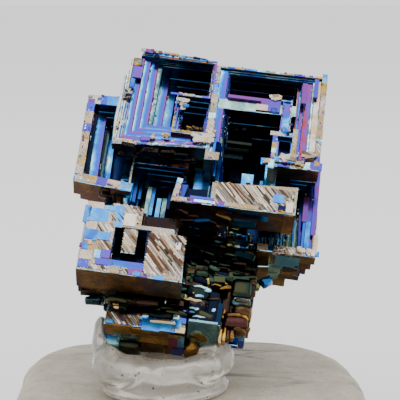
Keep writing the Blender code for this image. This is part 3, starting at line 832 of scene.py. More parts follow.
@dataclass
class Cluster:
    """The crystals, grown together into one solid."""

    crystals: tuple = CRYSTALS
    gaps: tuple = GAPS
    inner: tuple = INNER_CRYSTALS
    chance_spread: float = 0.06
    painted_shade_per_depth: float = 0.25
    thinning: float = 0.7
    longest_edge: float = 1.7
    waviness: float = 0.022
    broad_wave: float = 0.45
    fine_wave: float = 1.6

    def all_hoppers(self) -> tuple:
        """Every crystal and gap, in the order of their numbers."""
        return self.crystals + self.gaps + self.inner

    def build(self) -> bpy.types.Object:
        """Joins the bodies, cuts the funnels, then joins and cuts the inner crystals.

        Returns:
            The cluster, in the lattice frame.
        """
        number = {h.name: i for i, h in enumerate(self.all_hoppers())}
        bodies = [slab_stack(h, number[h.name]) for h in self.crystals]
        cluster, others = bodies[0], bodies[1:]
        cluster.name = "crystal_cluster"
        cut_or_grow(cluster, "UNION", others)
        cuts = [funnel_stack(h, number[h.name]) for h in self.crystals if h.treads]
        cuts += [slab_stack(h, number[h.name]) for h in self.gaps]
        cut_or_grow(cluster, "DIFFERENCE", cuts)
        cut_or_grow(cluster, "UNION", [slab_stack(h, number[h.name]) for h in self.inner])
        cut_or_grow(cluster, "DIFFERENCE",
                    [funnel_stack(h, number[h.name]) for h in self.inner if h.treads])
        return cluster

    def paint(self, cluster: bpy.types.Object) -> None:
        """Lays the oxide film on every face, from its mark, with painted shade that deepens down
        the funnels.

        Args:
            cluster: the marked cluster.
        """
        mesh = cluster.data
        hoppers = self.all_hoppers()
        marks = mesh.attributes["mark"]
        strip = mesh.attributes["strip"]
        film = mesh.attributes.new("film", "FLOAT_COLOR", "CORNER")
        for poly in mesh.polygons:
            crystal, kind, step, side = read_mark(marks.data[poly.index].value)
            tone = tone_for(hoppers[crystal].coat, kind, step, side)
            dice = random.Random(f"{crystal} {step} {int(side)}")
            drift = dice.uniform(-tone.drift, tone.drift)
            for loop in poly.loop_indices:
                across, depth, chance, _ = strip.data[loop].color
                wander = (chance - 0.5) * self.chance_spread
                share = across ** self.thinning
                thickness = tone.start + (tone.end - tone.start) * share + wander + drift
                # Painted shade: all faces but the lips and edges darken with their depth down the
                # funnel.
                depth_shade = self.painted_shade_per_depth * depth * (kind not in (Kind.LIP, Kind.EDGE))
                shade = min(BLACKEST, tone.shade + depth_shade)
                film.data[loop].color = (thickness, shade, tone.grain, tone.patch)

    def refine(self, cluster: bpy.types.Object) -> None:
        """Splits long edges, and lets the faces wander a little from dead flat.

        Args:
            cluster: the cluster, in the lattice frame.
        """
        activate(cluster)
        bpy.ops.object.mode_set(mode="EDIT")
        bpy.ops.mesh.select_all(action="SELECT")
        bpy.ops.mesh.quads_convert_to_tris(quad_method="BEAUTY", ngon_method="BEAUTY")
        bpy.ops.mesh.select_mode(type="EDGE")
        for _ in range(5):
            edit = bmesh.from_edit_mesh(cluster.data)
            bpy.ops.mesh.select_all(action="DESELECT")
            longs = [e for e in edit.edges if e.calc_length() > self.longest_edge * MM]
            if not longs:
                break
            for edge in longs:
                edge.select_set(True)
            bmesh.update_edit_mesh(cluster.data)
            bpy.ops.mesh.subdivide(number_cuts=1, quadcorner="INNERVERT")
            bpy.ops.mesh.select_all(action="SELECT")
            bpy.ops.mesh.quads_convert_to_tris(quad_method="BEAUTY", ngon_method="BEAUTY")
        bpy.ops.object.mode_set(mode="OBJECT")
        for vert in cluster.data.vertices:
            at = vert.co / MM
            vert.co += self.waviness * MM * (noise.noise_vector(at * self.broad_wave)
                                             + 0.35 * noise.noise_vector(at * self.fine_wave))


def join(objs: list, name: str) -> bpy.types.Object:
    """Joins objects into one.

    Args:
        objs: the objects, none of which is moved or turned.
        name: the joined object's name.

    Returns:
        The joined object.
    """
    activate(*objs)
    if len(objs) > 1:
        bpy.ops.object.join()
    obj = bpy.context.object
    obj.name = name
    return obj


def put_film(mesh: bpy.types.Mesh, thickness: float, shade: float, grain: float,
             patch: float) -> None:
    """Gives a whole mesh one oxide film.

    Args:
        mesh: the mesh.
        thickness: the film's thickness, from 0 to 1.
        shade: how dark it is.
        grain: how striated it is.
        patch: how far its thickness wanders.
    """
    film = mesh.attributes.get("film") or mesh.attributes.new("film", "FLOAT_COLOR", "CORNER")
    for corner in film.data:
        corner.color = (thickness, shade, grain, patch)


def bevelled_block(name: str, bevel: float, segments: int = 1,
                   top_only: bool = False) -> bpy.types.Object:
    """A unit block with its edges bevelled, to be copied and stretched.

    Args:
        name: its name.
        bevel: the bevel's width.
        segments: the segments across the bevel.
        top_only: whether only the four outward edges are bevelled.

    Returns:
        The block.
    """
    deselect()
    bpy.ops.mesh.primitive_cube_add(size=1.0)
    block = bpy.context.object
    block.name = name
    bpy.ops.object.mode_set(mode="EDIT")
    bpy.ops.mesh.select_mode(type="EDGE")
    bpy.ops.mesh.select_all(action="DESELECT")
    edit = bmesh.from_edit_mesh(block.data)
    for edge in edit.edges:
        edge.select_set(not top_only or all(v.co.z > 0.0 for v in edge.verts))
    bmesh.update_edit_mesh(block.data)
    bpy.ops.mesh.bevel(offset=bevel, segments=segments, affect="EDGES")
    bpy.ops.object.mode_set(mode="OBJECT")
    return block


def stretched_copy(block: bpy.types.Object, seat: Matrix, size: tuple,
                   film: tuple) -> bpy.types.Object:
    """A copy of a block with its own mesh, put in place and filmed.

    Args:
        block: the block to copy.
        seat: its place and turn, in millimetres.
        size: its length, width and height there.
        film: its thickness, shade, grain and patch.

    Returns:
        The copy.
    """
    copy = block.copy()
    copy.data = block.data.copy()
    bpy.context.scene.collection.objects.link(copy)
    copy.data.transform(Matrix.Scale(MM, 4) @ (seat @ Matrix.Diagonal((*size, 1.0))))
    put_film(copy.data, *film)
    return copy


@dataclass
class EdgePieces:
    """Small pieces strewn along the crystals' edges: what chips, plates and nicks share.

    A tint is the film thickness and shade of a piece, tail its grain and patch. spans are the
    ranges of a piece's length, width and height, twist is how far it may turn, and reach how
    close the cluster's surface has to be.
    """

    hoppers: tuple
    ground: BVHTree
    name: str = "edge_pieces"
    bevel: float = 0.1
    seed: int = 0
    tints: tuple = ()
    spans: tuple = ()
    tail: tuple = (0.3, 0.1)
    twist: float = 0.06
    reach: float = 0.1
    per_mm: float = 1.0

    def sides(self) -> list:
        """What along() gets for each edge after its block and dice."""
        return []

    def build(self) -> bpy.types.Object:
        """Strews the pieces.

        Returns:
            All the pieces as one object, in the lattice frame.
        """
        dice = random.Random(self.seed)
        block = bevelled_block(self.name, self.bevel, top_only=True)
        pieces = [piece for side in self.sides() for piece in self.along(block, dice, *side)]
        bpy.data.objects.remove(block, do_unlink=True)
        return join(pieces, self.name)

    def along(self, block: bpy.types.Object, dice: random.Random, hopper: Hopper, ends: tuple,
              level: float, width: float = 0.0) -> list:
        """Strews pieces along one edge.

        Args:
            block: the piece to copy.
            dice: the source of chance.
            hopper: the crystal.
            ends: the edge's two ends, in the drawing plane.
            level: its height there.
            width: how far inwards of the edge the pieces may lie, or 0 for pieces on the edge.

        Returns:
            The pieces.
        """
        run = ends[1] - ends[0]
        heading = math.atan2(run.y, run.x)
        inward = Vector((-run.y, run.x)).normalized()
        pieces = []
        for _ in range(int(run.length * self.per_mm)):
            at = ends[0] + run * dice.uniform(0.02, 0.98)
            if width:
                at += inward * dice.uniform(0.02, 0.9) * width
            size = tuple(dice.uniform(*span) for span in self.spans)
            height = level + dice.uniform(-0.05, 0.03) if width else level
            if self.rooted(hopper, at, level):
                turn = heading + dice.uniform(-self.twist, self.twist)
                seat = self.seat(hopper, at, height, turn)
                film = (*dice.choice(self.tints), *self.tail)
                pieces.append(stretched_copy(block, seat, size, film))
        return pieces

    def rooted(self, hopper: Hopper, spot: Vector, level: float) -> bool:
        """Whether the cluster's surface is close to a spot.

        Args:
            hopper: the crystal that the spot belongs to.
            spot: the spot, in the crystal's drawing plane.
            level: its height there.

        Returns:
            True where it is.
        """
        foot = turned(hopper.facing) @ Vector((spot.x, spot.y, level))
        return self.ground.find_nearest(foot * MM, self.reach * MM)[0] is not None

    def seat(self, hopper: Hopper, spot: Vector, level: float, heading: float,
             tilt: float = 0.0) -> Matrix:
        """The place of a piece on a crystal.

        Args:
            hopper: the crystal.
            spot: the piece's middle, in the crystal's drawing plane.
            level: its height there.
            heading: its turn in the plane.
            tilt: its turn about its own length.

        Returns:
            The place, in lattice millimetres.
        """
        return (turned(hopper.facing) @ Matrix.Translation((spot.x, spot.y, level))
                @ Matrix.Rotation(heading, 4, "Z") @ Matrix.Rotation(tilt, 4, "X"))


def side_ends(corners: tuple, first: int) -> tuple:
    """The two ends of the side that starts at one of four corners."""
    return Vector(corners[first]), Vector(corners[(first + 1) % 4])


@dataclass
class RimChips(EdgePieces):
    """Small growth steps scattered along the rims of the crystals."""

    name: str = "rim_chips"
    bevel: float = 0.16
    seed: int = 11
    tints: tuple = ((0.03, 0), (0.03, 0.1), (0.05, 0.3), (0.05, 0.1), (0.36, 0.1), (0.33, 0.1),
                    (0.4, 0.1), (0.62, 0.1), (0.72, 0), (0.8, 0), (0.18, 0.5))
    spans: tuple = ((0.15, 0.55), (0.08, 0.24), (0.12, 0.26))
    per_mm: float = 2.0
    widest: float = 1.2

    def sides(self) -> list:
        """The four sides of each rim."""
        return [(h, side_ends(four_corners(h.outline), first), h.front, min(width, self.widest))
                for h in self.hoppers for first, width in zip((3, 0, 2, 1), h.rim)]


@dataclass
class RimPlates(EdgePieces):
    """Thin plates of one colour each, laid end to end round the rims."""

    name: str = "rim_plates"
    bevel: float = 0.08
    seed: int = 23
    gaps: float = 0.15
    widest: float = 3.0
    narrowest: float = 0.1
    tints: tuple = (0.02, 0.03, 0.04, 0.05, 0.07, 0.02, 0.45, 0.52, 0.70, 0.38, 0.81)

    def sides(self) -> list:
        """The four sides of each rim, as their outer and inner edges."""
        return [(h, side_ends(four_corners(h.outline), first),
                 side_ends(four_corners(h.mouth_outline()), first))
                for h in self.hoppers for first in range(4)]

    def along(self, block: bpy.types.Object, dice: random.Random, hopper: Hopper, outer: tuple,
              inner: tuple) -> list:
        """Lays plates along one side of a rim.

        Args:
            block: the plate to copy.
            dice: the source of chance.
            hopper: the crystal.
            outer: the ends of the rim's outer edge.
            inner: the ends of its inner edge.

        Returns:
            The plates.
        """
        run = outer[1] - outer[0]
        heading = math.atan2(run.y, run.x)
        plates, at = [], 0.0
        while at < 1.0:
            length = dice.uniform(0.5, 2.1)
            middle = min(1.0, at + 0.5 * length / run.length)
            near, far = outer[0].lerp(outer[1], middle), inner[0].lerp(inner[1], middle)
            at += length / run.length
            across = abs((far - near).cross(run.normalized()))
            spot = near.lerp(far, 0.5)
            skipped = (dice.random() < self.gaps or across > self.widest
                       or (far - near).length < self.narrowest)
            if skipped or not self.rooted(hopper, spot, hopper.front):
                continue
            size = (length * dice.uniform(0.85, 1.05), across * dice.uniform(0.75, 1.02),
                    dice.uniform(0.08, 0.16))
            seat = self.seat(hopper, spot, hopper.front, heading + dice.uniform(-0.02, 0.02),
                             dice.uniform(-0.04, 0.04))
            thickness = dice.choice(self.tints)
            striated = 0.7 if thickness < 0.15 else 0.0
            film = (thickness, dice.uniform(0.0, 0.2), striated, 0.08)
            plates.append(stretched_copy(block, seat, size, film))
        return plates


@dataclass
class StepNicks(EdgePieces):
    """Small nicks and beads along the edges of a funnel's steps."""

    name: str = "step_nicks"
    bevel: float = 0.3
    seed: int = 41
    tints: tuple = ((0.03, 0), (0.82, 0), (0.81, 0), (0.36, 0), (0.5, 0.8), (0.5, 0.9),
                    (0.66, 0.1), (0.12, 0.1), (0.84, 0.2))
    spans: tuple = ((0.15, 0.9), (0.06, 0.16), (0.08, 0.18))
    tail: tuple = (0.1, 0.1)
    twist: float = 0.07
    reach: float = 0.15
    per_mm: float = 0.9

    def sides(self) -> list:
        """The left, bottom and right edges of each step.

        Returns:
            (crystal, ends, height) for each edge.
        """
        edges = []
        for hopper in self.hoppers:
            outline, level = hopper.mouth_outline(), hopper.front
            for drop, *insets in hopper.treads[:-1]:
                level -= drop
                edges += [(hopper, side_ends(four_corners(outline), first), level)
                          for first in (3, 0, 1)]
                outline = inset(outline, *insets)
        return edges


@dataclass(frozen=True)
class RibField:
    """Slanted growth ridges that cover part of a crystal's front face, in millimetres."""

    left: float
    right: float
    bottom: float
    top: float
    level: float
    pitch: float = 0.26
    height: float = 0.07
    slope: float = -50.0
    tints: tuple = ((0.03, 0.15), (0.04, 0.30), (0.04, 0.45), (0.18, 0.15), (0.00, 0.0),
                    (0.04, 0.84), (0.02, 0.05), (0.03, 0.60))

    def build(self, block: bpy.types.Object, dice: random.Random) -> list:
        """Lays the ridges side by side, each clipped to the field.

        Args:
            block: the bevelled block to stretch into ridges.
            dice: the source of chance.

        Returns:
            The ridges, in the lattice frame.
        """
        angle = math.radians(self.slope)
        run = Vector((math.cos(angle), math.sin(angle)))
        step = Vector((-run.y, run.x))
        middle = Vector((0.5 * (self.left + self.right), 0.5 * (self.bottom + self.top)))
        reach = 0.5 * math.hypot(self.right - self.left, self.top - self.bottom)
        ribs = []
        count = int(2 * reach / self.pitch)
        for k in range(count):
            base = middle + step * (k * self.pitch - reach)
            inside = [s * 0.02 * reach for s in range(-55, 56)
                      if self.holds(base + run * (s * 0.02 * reach))]
            if len(inside) < 3:
                continue
            low, high = inside[0], inside[-1]
            while low < high - 0.15:
                length = min(high - low, dice.uniform(0.8, 3.6))
                at = base + run * (low + 0.5 * length)
                size = (length * 1.02, self.pitch * dice.uniform(0.8, 1.15),
                        self.height * dice.uniform(1.0, 2.6))
                seat = (turned(Facing.FRONT) @ Matrix.Translation((at.x, at.y, self.level))
                        @ Matrix.Rotation(angle + dice.uniform(-0.05, 0.05), 4, "Z")
                        @ Matrix.Rotation(dice.uniform(-0.25, 0.15), 4, "X"))
                film = (*dice.choice(self.tints), 0.25, 0.03)
                ribs.append(stretched_copy(block, seat, size, film))
                low += length
        return ribs

    def holds(self, point: Vector) -> bool:
        """Whether a point lies in the field."""
        return self.left <= point.x <= self.right and self.bottom <= point.y <= self.top


@dataclass
class Ridges:
    """The fields of slanted ridges on the brown crystals."""

    fields: tuple = (
        RibField(-10.1, -6.5, -5.6, -3.1, 1.5, 0.22),
        RibField(-11.3, -9.8, -7.3, -5.9, 1.5, 0.3),
        RibField(-10.7, -9.25, -9.75, -8.4, 1.5, 0.3),
        RibField(-12.7, -9.4, -7.1, -5.9, 1.5, 0.3),
        RibField(-5.2, -0.8, -12.3, -6.5, 1.5, 0.24, 0.10),
        RibField(-12.6, -1.0, -12.6, -11.85, 1.5, 0.3),
        RibField(-8.1, -6.55, -9.6, -6.3, 1.38, 0.24),
        RibField(1.8, 11.2, -1.75, 1.6, 2.0, 0.19, 0.05),
        RibField(-9.0, -5.0, -15.9, -13.9, -4.2, 0.24, tints=(
        (0.03, 0.0), (0.04, 0.08), (0.02, 0.0), (0.05, 0.25), (0.04, 0.60), (0.18, 0.1))),
    )
    seed: int = 5

    def build(self) -> bpy.types.Object:
        """Builds every field of ridges.

        Returns:
            All the ridges as one object, in the lattice frame.
        """
        dice = random.Random(self.seed)
        block = bevelled_block("ridge", 0.22, top_only=True)
        ribs = [rib for rib_field in self.fields for rib in rib_field.build(block, dice)]
        bpy.data.objects.remove(block, do_unlink=True)
        return join(ribs, "ridges")


class Form(Enum):
    """How round a small growth is: its corners' radius and the segments across it."""

    PLATE = (0.03, 1)
    SOFT = (0.20, 2)
    ROUND = (0.38, 2)
    DISC = (0.0, 0)
    SHARDS = (0.06, 1)


@dataclass(frozen=True)
class Growth:
    """A small growth on the cluster, in lattice millimetres, with its oxide film."""

    middle: tuple
    size: tuple
    film: tuple
    form: Form
    turn: float = 0.0


def growths(form: Form, level: tuple, *rows: tuple) -> tuple:
    """Growths of one form.

    Args:
        form: the form.
        level: how far back their middles lie and how deep they are, if they share it, or ().
        rows: each one's middle, size, film and turn, without what the level gives.

    Returns:
        The growths.
    """
    if level:
        rows = [(row[0], level[0], row[1], row[2], level[1], *row[3:]) for row in rows]
    return tuple(Growth(row[:3], row[3:6], row[6:10], form, *row[10:]) for row in rows)


GROWTHS = (
    *growths(Form.PLATE, (-1.53, 0.14),
        (-11.53, -4.96, 2.61, 1.88, 0.71, 0, 0, 0.05), (-12.77, -5, 0.83, 2.46, 0.62, 0, 0, 0.1),
        (-11.93, -7.87, 1.53, 1.56, 0.64, 0, 0, 0.08),
        (-10.35, -7.84, 1.41, 1.13, 0.67, 0, 0, 0.08), (-12.32, -9.33, 0.7, 1.26, 0.6, 0, 0, 0.1),
        (-12.12, -11.86, 1.16, 1.1, 0.48, 0, 0, 0.08),
        (-9.83, -10.27, 1.16, 1.11, 0.37, 0, 0, 0.15),
        (-10.68, -10.4, 0.81, 1.11, 0.77, 0, 0, 0.05),
        (-9.83, -11.37, 1.97, 0.83, 0.48, 0, 0, 0.04), (-5.85, -12.42, 0.81, 0.55, 0.66, 0, 0, 0),
        (-3.35, -12.58, 1.15, 0.54, 0.7, 0, 0, 0), (-1.6, -7.98, 0.58, 0.98, 0.02, 0, 0, 0),
        (-7.7, -5.16, 1.42, 1.73, 0.02, 0, 0, 0.05), (-10.1, -3.87, 1.07, 0.73, 0.72, 0, 0, 0),
        (-11.98, -3.65, 1.91, 0.87, 0.03, 0, 0.5, 0.03),
        (-12.03, -6.54, 1.3, 1.14, 0.03, 0.05, 0.4, 0.03),
        (-12.06, -8.8, 0.94, 0.84, 0.06, 0.05, 0.3, 0.03),
        (-11.98, -10.67, 1.4, 1.25, 0.04, 0.05, 0.3, 0.03)),
    *growths(Form.PLATE, (-2.03, 0.14),
        (9.29, 0.14, 1.31, 1.18, 0.68, 0, 0, 0.05), (0.29, -1.14, 2.86, 0.37, 0.5, 0, 0, 0.1),
        (0.64, -1.59, 2.5, 0.37, 0.82, 0, 0, 0.02), (10.69, -0.89, 0.83, 1.6, 0.02, 0, 0.2, 0.03),
        (9.82, -1.17, 0.95, 0.73, 0.5, 0.9, 0, 0)),
    *growths(Form.PLATE, (),
        (2.67, -1.84, -1.99, 0.95, 0.63, 0.14, 0.6, 0.1, 0, 0),
        (3.89, -1.28, -1.99, 1.19, 0.63, 0.14, 0.62, 0.1, 0, 0),
        (6.36, -0.88, -1.99, 2.51, 0.84, 0.14, 0.67, 0.25, 0, 0.03),
        (7.75, -0.67, -1.99, 1.19, 1.06, 0.14, 0.67, 0, 0, 0),
        (5.59, 0.98, -1.99, 2.89, 1.07, 0.14, 0.7, 0, 0, 0.06),
        (10.68, 0.06, -1.99, 1.2, 3.85, 0.14, 0.17, 0, 0.2, 0.02),
        (12.89, 4, 3.36, 0.62, 0.2, 3.8, 0.37, 0.35, 0, 0.05),
        (13.38, 4.05, -0.42, 0.61, 0.2, 4, 0.66, 0.25, 0, 0.08),
        (12.89, 4.1, -0.09, 0.31, 0.2, 4.76, 0.58, 0.2, 0, 0.05),
        (14.07, 3.97, 4.51, 0.56, 0.2, 9.8, 0.38, 0.28, 0, 0.08),
        (14.5, 3.97, -1.7, 0.49, 0.2, 2.64, 0.04, 0.05, 0.3, 0.03)),
    *growths(Form.SOFT, (5.4, 0.5),
        (6.83, -1.62, 0.21, 2.08, 0.93, 0.62, 0, 0.05),
        (7.2, -1.64, 0.21, 1.93, 0.66, 0.75, 0, 0.05),
        (7.63, -1.65, 0.21, 1.78, 0.95, 0.5, 0, 0.05),
        (8.04, -1.44, 0.21, 2.08, 0.64, 0.7, 0, 0.05),
        (8.47, -1.45, 0.21, 1.93, 0.93, 0.62, 0, 0.05),
        (8.91, -1.46, 0.21, 1.78, 0.66, 0.75, 0, 0.05),
        (9.32, -1.25, 0.21, 2.08, 0.95, 0.5, 0, 0.05),
        (9.75, -1.25, 0.21, 1.93, 0.64, 0.7, 0, 0.05),
        (10.18, -1.26, 0.21, 1.78, 0.93, 0.62, 0, 0.05),
        (10.59, -1.05, 0.21, 2.08, 0.66, 0.75, 0, 0.05),
        (11.03, -1.06, 0.21, 1.93, 0.95, 0.5, 0, 0.05)),
    *growths(Form.SOFT, (5.3, 0.8),
        (3.39, -0.5, 0.74, 1.65, 0.97, 0.15, 0, 0.2), (4.19, -1.64, 0.86, 2.38, 0.96, 0.3, 0, 0.2),
        (5.13, -1.73, 0.99, 2.23, 0.9, 0.6, 0, 0.1), (5.82, -1.84, 0.86, 2.07, 0.67, 0.62, 0, 0.1),
        (6.35, -1.61, 0.49, 2.37, 0.94, 0.35, 0, 0.1), (4.48, 0.26, 1.36, 1.05, 0.97, 0.45, 0, 0.2),
        (2.61, -1.29, 0.99, 2.39, 0.96, 0.75, 0, 0.2)),
    *growths(Form.PLATE, (),
        (8.68, 5.32, -3.45, 2.57, 2.26, 0.14, 0.14, 0, 0.2, 0.02),
        (11.12, 5.99, -3.45, 3.43, 2.96, 0.14, 0.9, 0, 0, 0.01),
        (4.58, 7.3, -3.45, 3.71, 1.61, 0.14, 0.05, 0.45, 0.3, 0.03),
        (8.57, 7.74, -3.45, 4.21, 2.08, 0.14, 0.86, 0.35, 0.2, 0.03),
        (9.04, 9.01, -3.45, 2.99, 1.64, 0.14, 0.86, 0.4, 0.2, 0.03),
        (11.85, 7.77, -3.45, 2.1, 1.39, 0.14, 0.165, 0.1, 0.3, 0.02),
        (5.45, 7.49, -3.45, 4.45, 0.58, 0.14, 0.86, 0.2, 0, 0.02),
        (5.96, 8.58, -3.45, 3.85, 0.7, 0.14, 0.13, 0.2, 0, 0.02),
        (5.83, 9.43, -3.45, 3.5, 0.47, 0.14, 0.86, 0.3, 0, 0)),
    *growths(Form.SOFT, (),
        (9.13, 7.6, -5.56, 0.98, 1.2, 1.45, 0.66, 0.45, 0, 0.05, 45),
        (8.13, 8, -6.04, 0.68, 1, 1.16, 0.97, 0.25, 0, 0.1)),
    # Three dark green slats deep in the upper right crystal's funnel: their high shade is painted
    # shade.
    *growths(Form.PLATE, (),
        (2.91, 8, 14.45, 5, 2.6, 0.42, 0.97, 0.92, 0, 0.02),
        (2.85, 7.4, 12.84, 4.57, 2.6, 0.57, 0.95, 0.88, 0, 0.02),
        (2.6, 6.8, 11.25, 3.76, 2.6, 0.65, 0.92, 0.88, 0, 0.02)),
    *growths(Form.SHARDS, (3.9, 0.5),
        (10.01, -3.3, 1.34, 0.87, 0.03, 0.05, 0.2, 0.03),
        (11.53, -3.36, 1.46, 0.87, 0.03, 0.05, 0.2, 0.03),
        (12.82, -2.8, 1.21, 1.02, 0.03, 0.05, 0.2, 0.03),
        (13.99, -3.06, 1.33, 1.31, 0.03, 0.05, 0.2, 0.03)),
    *growths(Form.PLATE, (4.15, 0.2),
        (-3.65, -15.55, 2.11, 1.62, 0.71, 0, 0, 0.04), (-1.75, -15.67, 2.11, 1.08, 0.7, 0, 0, 0.04),
        (-0.75, -14.85, 1.06, 1.9, 0.72, 0, 0, 0.06), (-0.05, -13.93, 0.82, 1.91, 0.52, 0, 0, 0.1)),
    *growths(Form.SOFT, (),
        (-0.86, 4.05, -14.04, 0.82, 0.5, 0.96, 0.81, 0, 0, 0),
        (-2.32, 4.05, -15.01, 3.05, 0.5, 0.41, 0.06, 0, 0, 0.03)),
    *growths(Form.ROUND, (),
        (-4.4, 4.05, -14.43, 0.94, 0.5, 0.68, 0.81, 0, 0, 0.05)),
    *growths(Form.PLATE, (),
        (-0.51, 4.15, -15.79, 1.75, 0.2, 0.74, 0.05, 0, 0, 0.03),
        (-8.49, 4.15, -15.73, 0.82, 0.2, 0.54, 0.72, 0, 0, 0)),
    *growths(Form.ROUND, (),
        (-2.74, 4.05, -14.05, 2.94, 0.5, 0.96, 0.95, 0.95, 0, 0.02)),
    *growths(Form.PLATE, (),
        (-7.38, 5.29, -16.12, 3.18, 2.36, 0.14, 0.15, 0, 0.6, 0.02),
        (-8.29, 7.9, -16.12, 1.67, 2.42, 0.14, 0.7, 0, 0, 0.04),
        (-6.38, 6.32, -16.12, 3.55, 1.19, 0.14, 0.86, 0.1, 0, 0.03),
        (-3.79, 4.95, -16.12, 4.93, 1.18, 0.14, 0.15, 0, 0.2, 0.02),
        (-3.29, 6.72, -16.12, 4.03, 1.2, 0.14, 0.125, 0, 0.2, 0.02),
        (-3.54, 5.71, -16.12, 4.01, 0.95, 0.14, 0.14, 0.1, 0.2, 0.02),
        (-1.79, 5.02, -16.12, 3.76, 0.71, 0.14, 0.08, 0.25, 0, 0.03),
        (-0.92, 6.81, -16.12, 1.18, 2.65, 0.14, 0.27, 0, 0, 0.02),
        (-0.05, 6.11, -16.12, 0.83, 2.63, 0.14, 0.76, 0.2, 0, 0.05),
        (-0.34, 8.47, -16.12, 1.31, 1.96, 0.14, 0.47, 0, 0, 0.04)),
    *growths(Form.SOFT, (),
        (-8.21, 9.6, -15.76, 2.11, 4.2, 2.34, 0.89, 0, 0.1, 0.03),
        (-6.21, 9.7, -15.79, 2.83, 4, 2.27, 0.97, 0.85, 0.1, 0.05)),
    *growths(Form.ROUND, (),
        (-6.8, 9.9, -16.52, 3.13, 3.5, 0.75, 0.16, 0.4, 0.2, 0.03),
        (1.26, 8.6, -15.48, 1.79, 3, 2.32, 0.15, 0.2, 0.2, 0.03),
        (0.84, 8.9, -15.85, 1.08, 2.4, 1.37, 1, 0.3, 0.2, 0.02)),
    *growths(Form.PLATE, (),
        (2.35, 5.8, -15.13, 3.54, 6.43, 0.3, 0.884, 0, 0, 0.01)),
    *growths(Form.DISC, (),
        (2.14, 6.03, -15.3, 1.89, 3.11, 0.1, 0.86, 0, 0, 0.02, -38),
        (2.15, 5.93, -15.36, 1.3, 2.15, 0.1, 0.13, 0.1, 0, 0.02, -38)),
    *growths(Form.SOFT, (),
        (6.37, 4.7, -10.9, 2.5, 1.6, 1.18, 0.86, 0.55, 0.1, 0.2),
        (6.43, 4.7, -10.89, 1.9, 2, 0.49, 0.17, 0.4, 0, 0.02)),
    *growths(Form.ROUND, (),
        (6.55, 4.7, -12.08, 2.37, 2.2, 1.65, 0.165, 0.45, 0.2, 0.02),
        (5.94, 4.7, -12.96, 3.31, 2.2, 0.89, 0.115, 0.22, 0.2, 0.08)),
    *growths(Form.SOFT, (),
        (6.02, 4.7, -13.97, 3, 2.4, 1.29, 0.21, 0.55, 0.3, 0.02)),
    *growths(Form.ROUND, (),
        (6.53, 4.7, -14.67, 1.76, 2, 0.81, 0.14, 0.5, 0.3, 0.03)),
    *growths(Form.SOFT, (),
        (4.43, 4.7, -15.79, 0.47, 1.6, 2.15, 0.1, 0.05, 0, 0.05),
        (4.9, 4.7, -15.25, 0.47, 1.4, 2.3, 0.11, 0.05, 0, 0.08),
        (5.35, 4.7, -15.38, 0.41, 1.4, 1.35, 0.13, 0.6, 0, 0.1),
        (5.78, 4.7, -15.25, 0.59, 1.3, 1.21, 0.1, 0.1, 0, 0.1),
        (4.49, 4.7, -12.73, 0.47, 1.2, 1.24, 0.11, 0.15, 0, 0.1)),
    *growths(Form.ROUND, (),
        (7.44, 4.7, -14.33, 0.82, 1.4, 0.68, 0.15, 0.5, 0, 0.03),
        (7.5, 4.7, -12.08, 0.71, 1.4, 2.2, 0.15, 0.5, 0, 0.03)),
    *growths(Form.SOFT, (),
        (4.67, 4.7, -11.12, 1.19, 1.2, 3.89, 0.16, 0.8, 0, 0.02),
        (6.29, 4.7, -9.06, 2.51, 1.6, 2.53, 0.95, 0.88, 0, 0.1)),
    # Thin pieces on the dark melted ridges and along the bottom crystal's top edge; the white ones,
    # film 0.8 to 0.9, are painted highlights on the glossy ridges.
    *growths(Form.ROUND, (2.9, 0.45),
        (1.58, -10.34, 2.25, 0.32, 0.82, 0, 0, 0.05),
        (2.38, -10.62, 0.95, 0.83, 0.82, 0.1, 0, 0.15),
        (-0.17, -11.93, 0.47, 0.62, 0.07, 0, 0, 0.1), (0.8, -12.21, 2.12, 0.37, 0.07, 0, 0, 0.1),
        (1.49, -11.58, 1.06, 0.41, 0.81, 0.05, 0, 0.1), (0.64, -11.36, 0.35, 0.28, 0.1, 0, 0, 0),
        (3.34, -13.25, 0.47, 0.48, 0.8, 0, 0, 0), (1.78, -14.4, 1.63, 0.27, 0.82, 0.1, 0, 0.05),
        (1.74, -15, 0.7, 0.24, 0.82, 0, 0, 0), (0.94, -13.3, 0.94, 0.27, 0.83, 0.1, 0, 0.1),
        (1.33, -13.38, 0.53, 0.41, 0.82, 0, 0, 0), (0.89, -13.85, 0.7, 0.27, 0.9, 0.3, 0, 0),
        (-2.3, -12.93, 0.24, 0.62, 0.86, 0, 0, 0), (-7.92, -14.45, 0.7, 0.48, 0.06, 0.1, 0, 0),
        (-8.03, -14.16, 0.82, 0.41, 0.13, 0.3, 0, 0.1)),
    *growths(Form.ROUND, (),
        (1.34, 3.15, -13.09, 2.47, 0.7, 2.19, 0.5, 0.985, 0, 0)),
    *growths(Form.SOFT, (),
        (3.19, 3.15, -12.89, 1.29, 0.7, 4.52, 0.5, 0.985, 0, 0.02)),
    *growths(Form.ROUND, (),
        (1.26, 3.15, -11.05, 2.84, 0.7, 1.94, 0.97, 0.93, 0, 0.03)),
    *growths(Form.SOFT, (),
        (2.27, 3.15, -14.51, 3.04, 0.7, 1.22, 0.5, 0.97, 0, 0.02)),
    *growths(Form.ROUND, (2.95, 0.5),
        (2.16, -9.3, 1.07, 0.98, 0.11, 0.35, 0, 0, -42),
        (3.23, -9.8, 1.42, 0.35, 0.12, 0.35, 0, 0, -6),
        (4.02, -9.4, 1.42, 0.35, 0.11, 0.3, 0, 0, 6),
        (4.26, -10.03, 1.3, 0.42, 0.13, 0.35, 0, 0, -14),
        (4.71, -9.75, 0.59, 0.7, 0.14, 0.5, 0, 0, -60)),
    *growths(Form.SHARDS, (),
        (-3.99, -0.1, 14.81, 1.78, 0.3, 0.82, 0.02, 0.05, 0.3, 0.03),
        (-3.94, -0.1, 13.92, 1.14, 0.3, 1.31, 0.03, 0.1, 0.3, 0.03)),
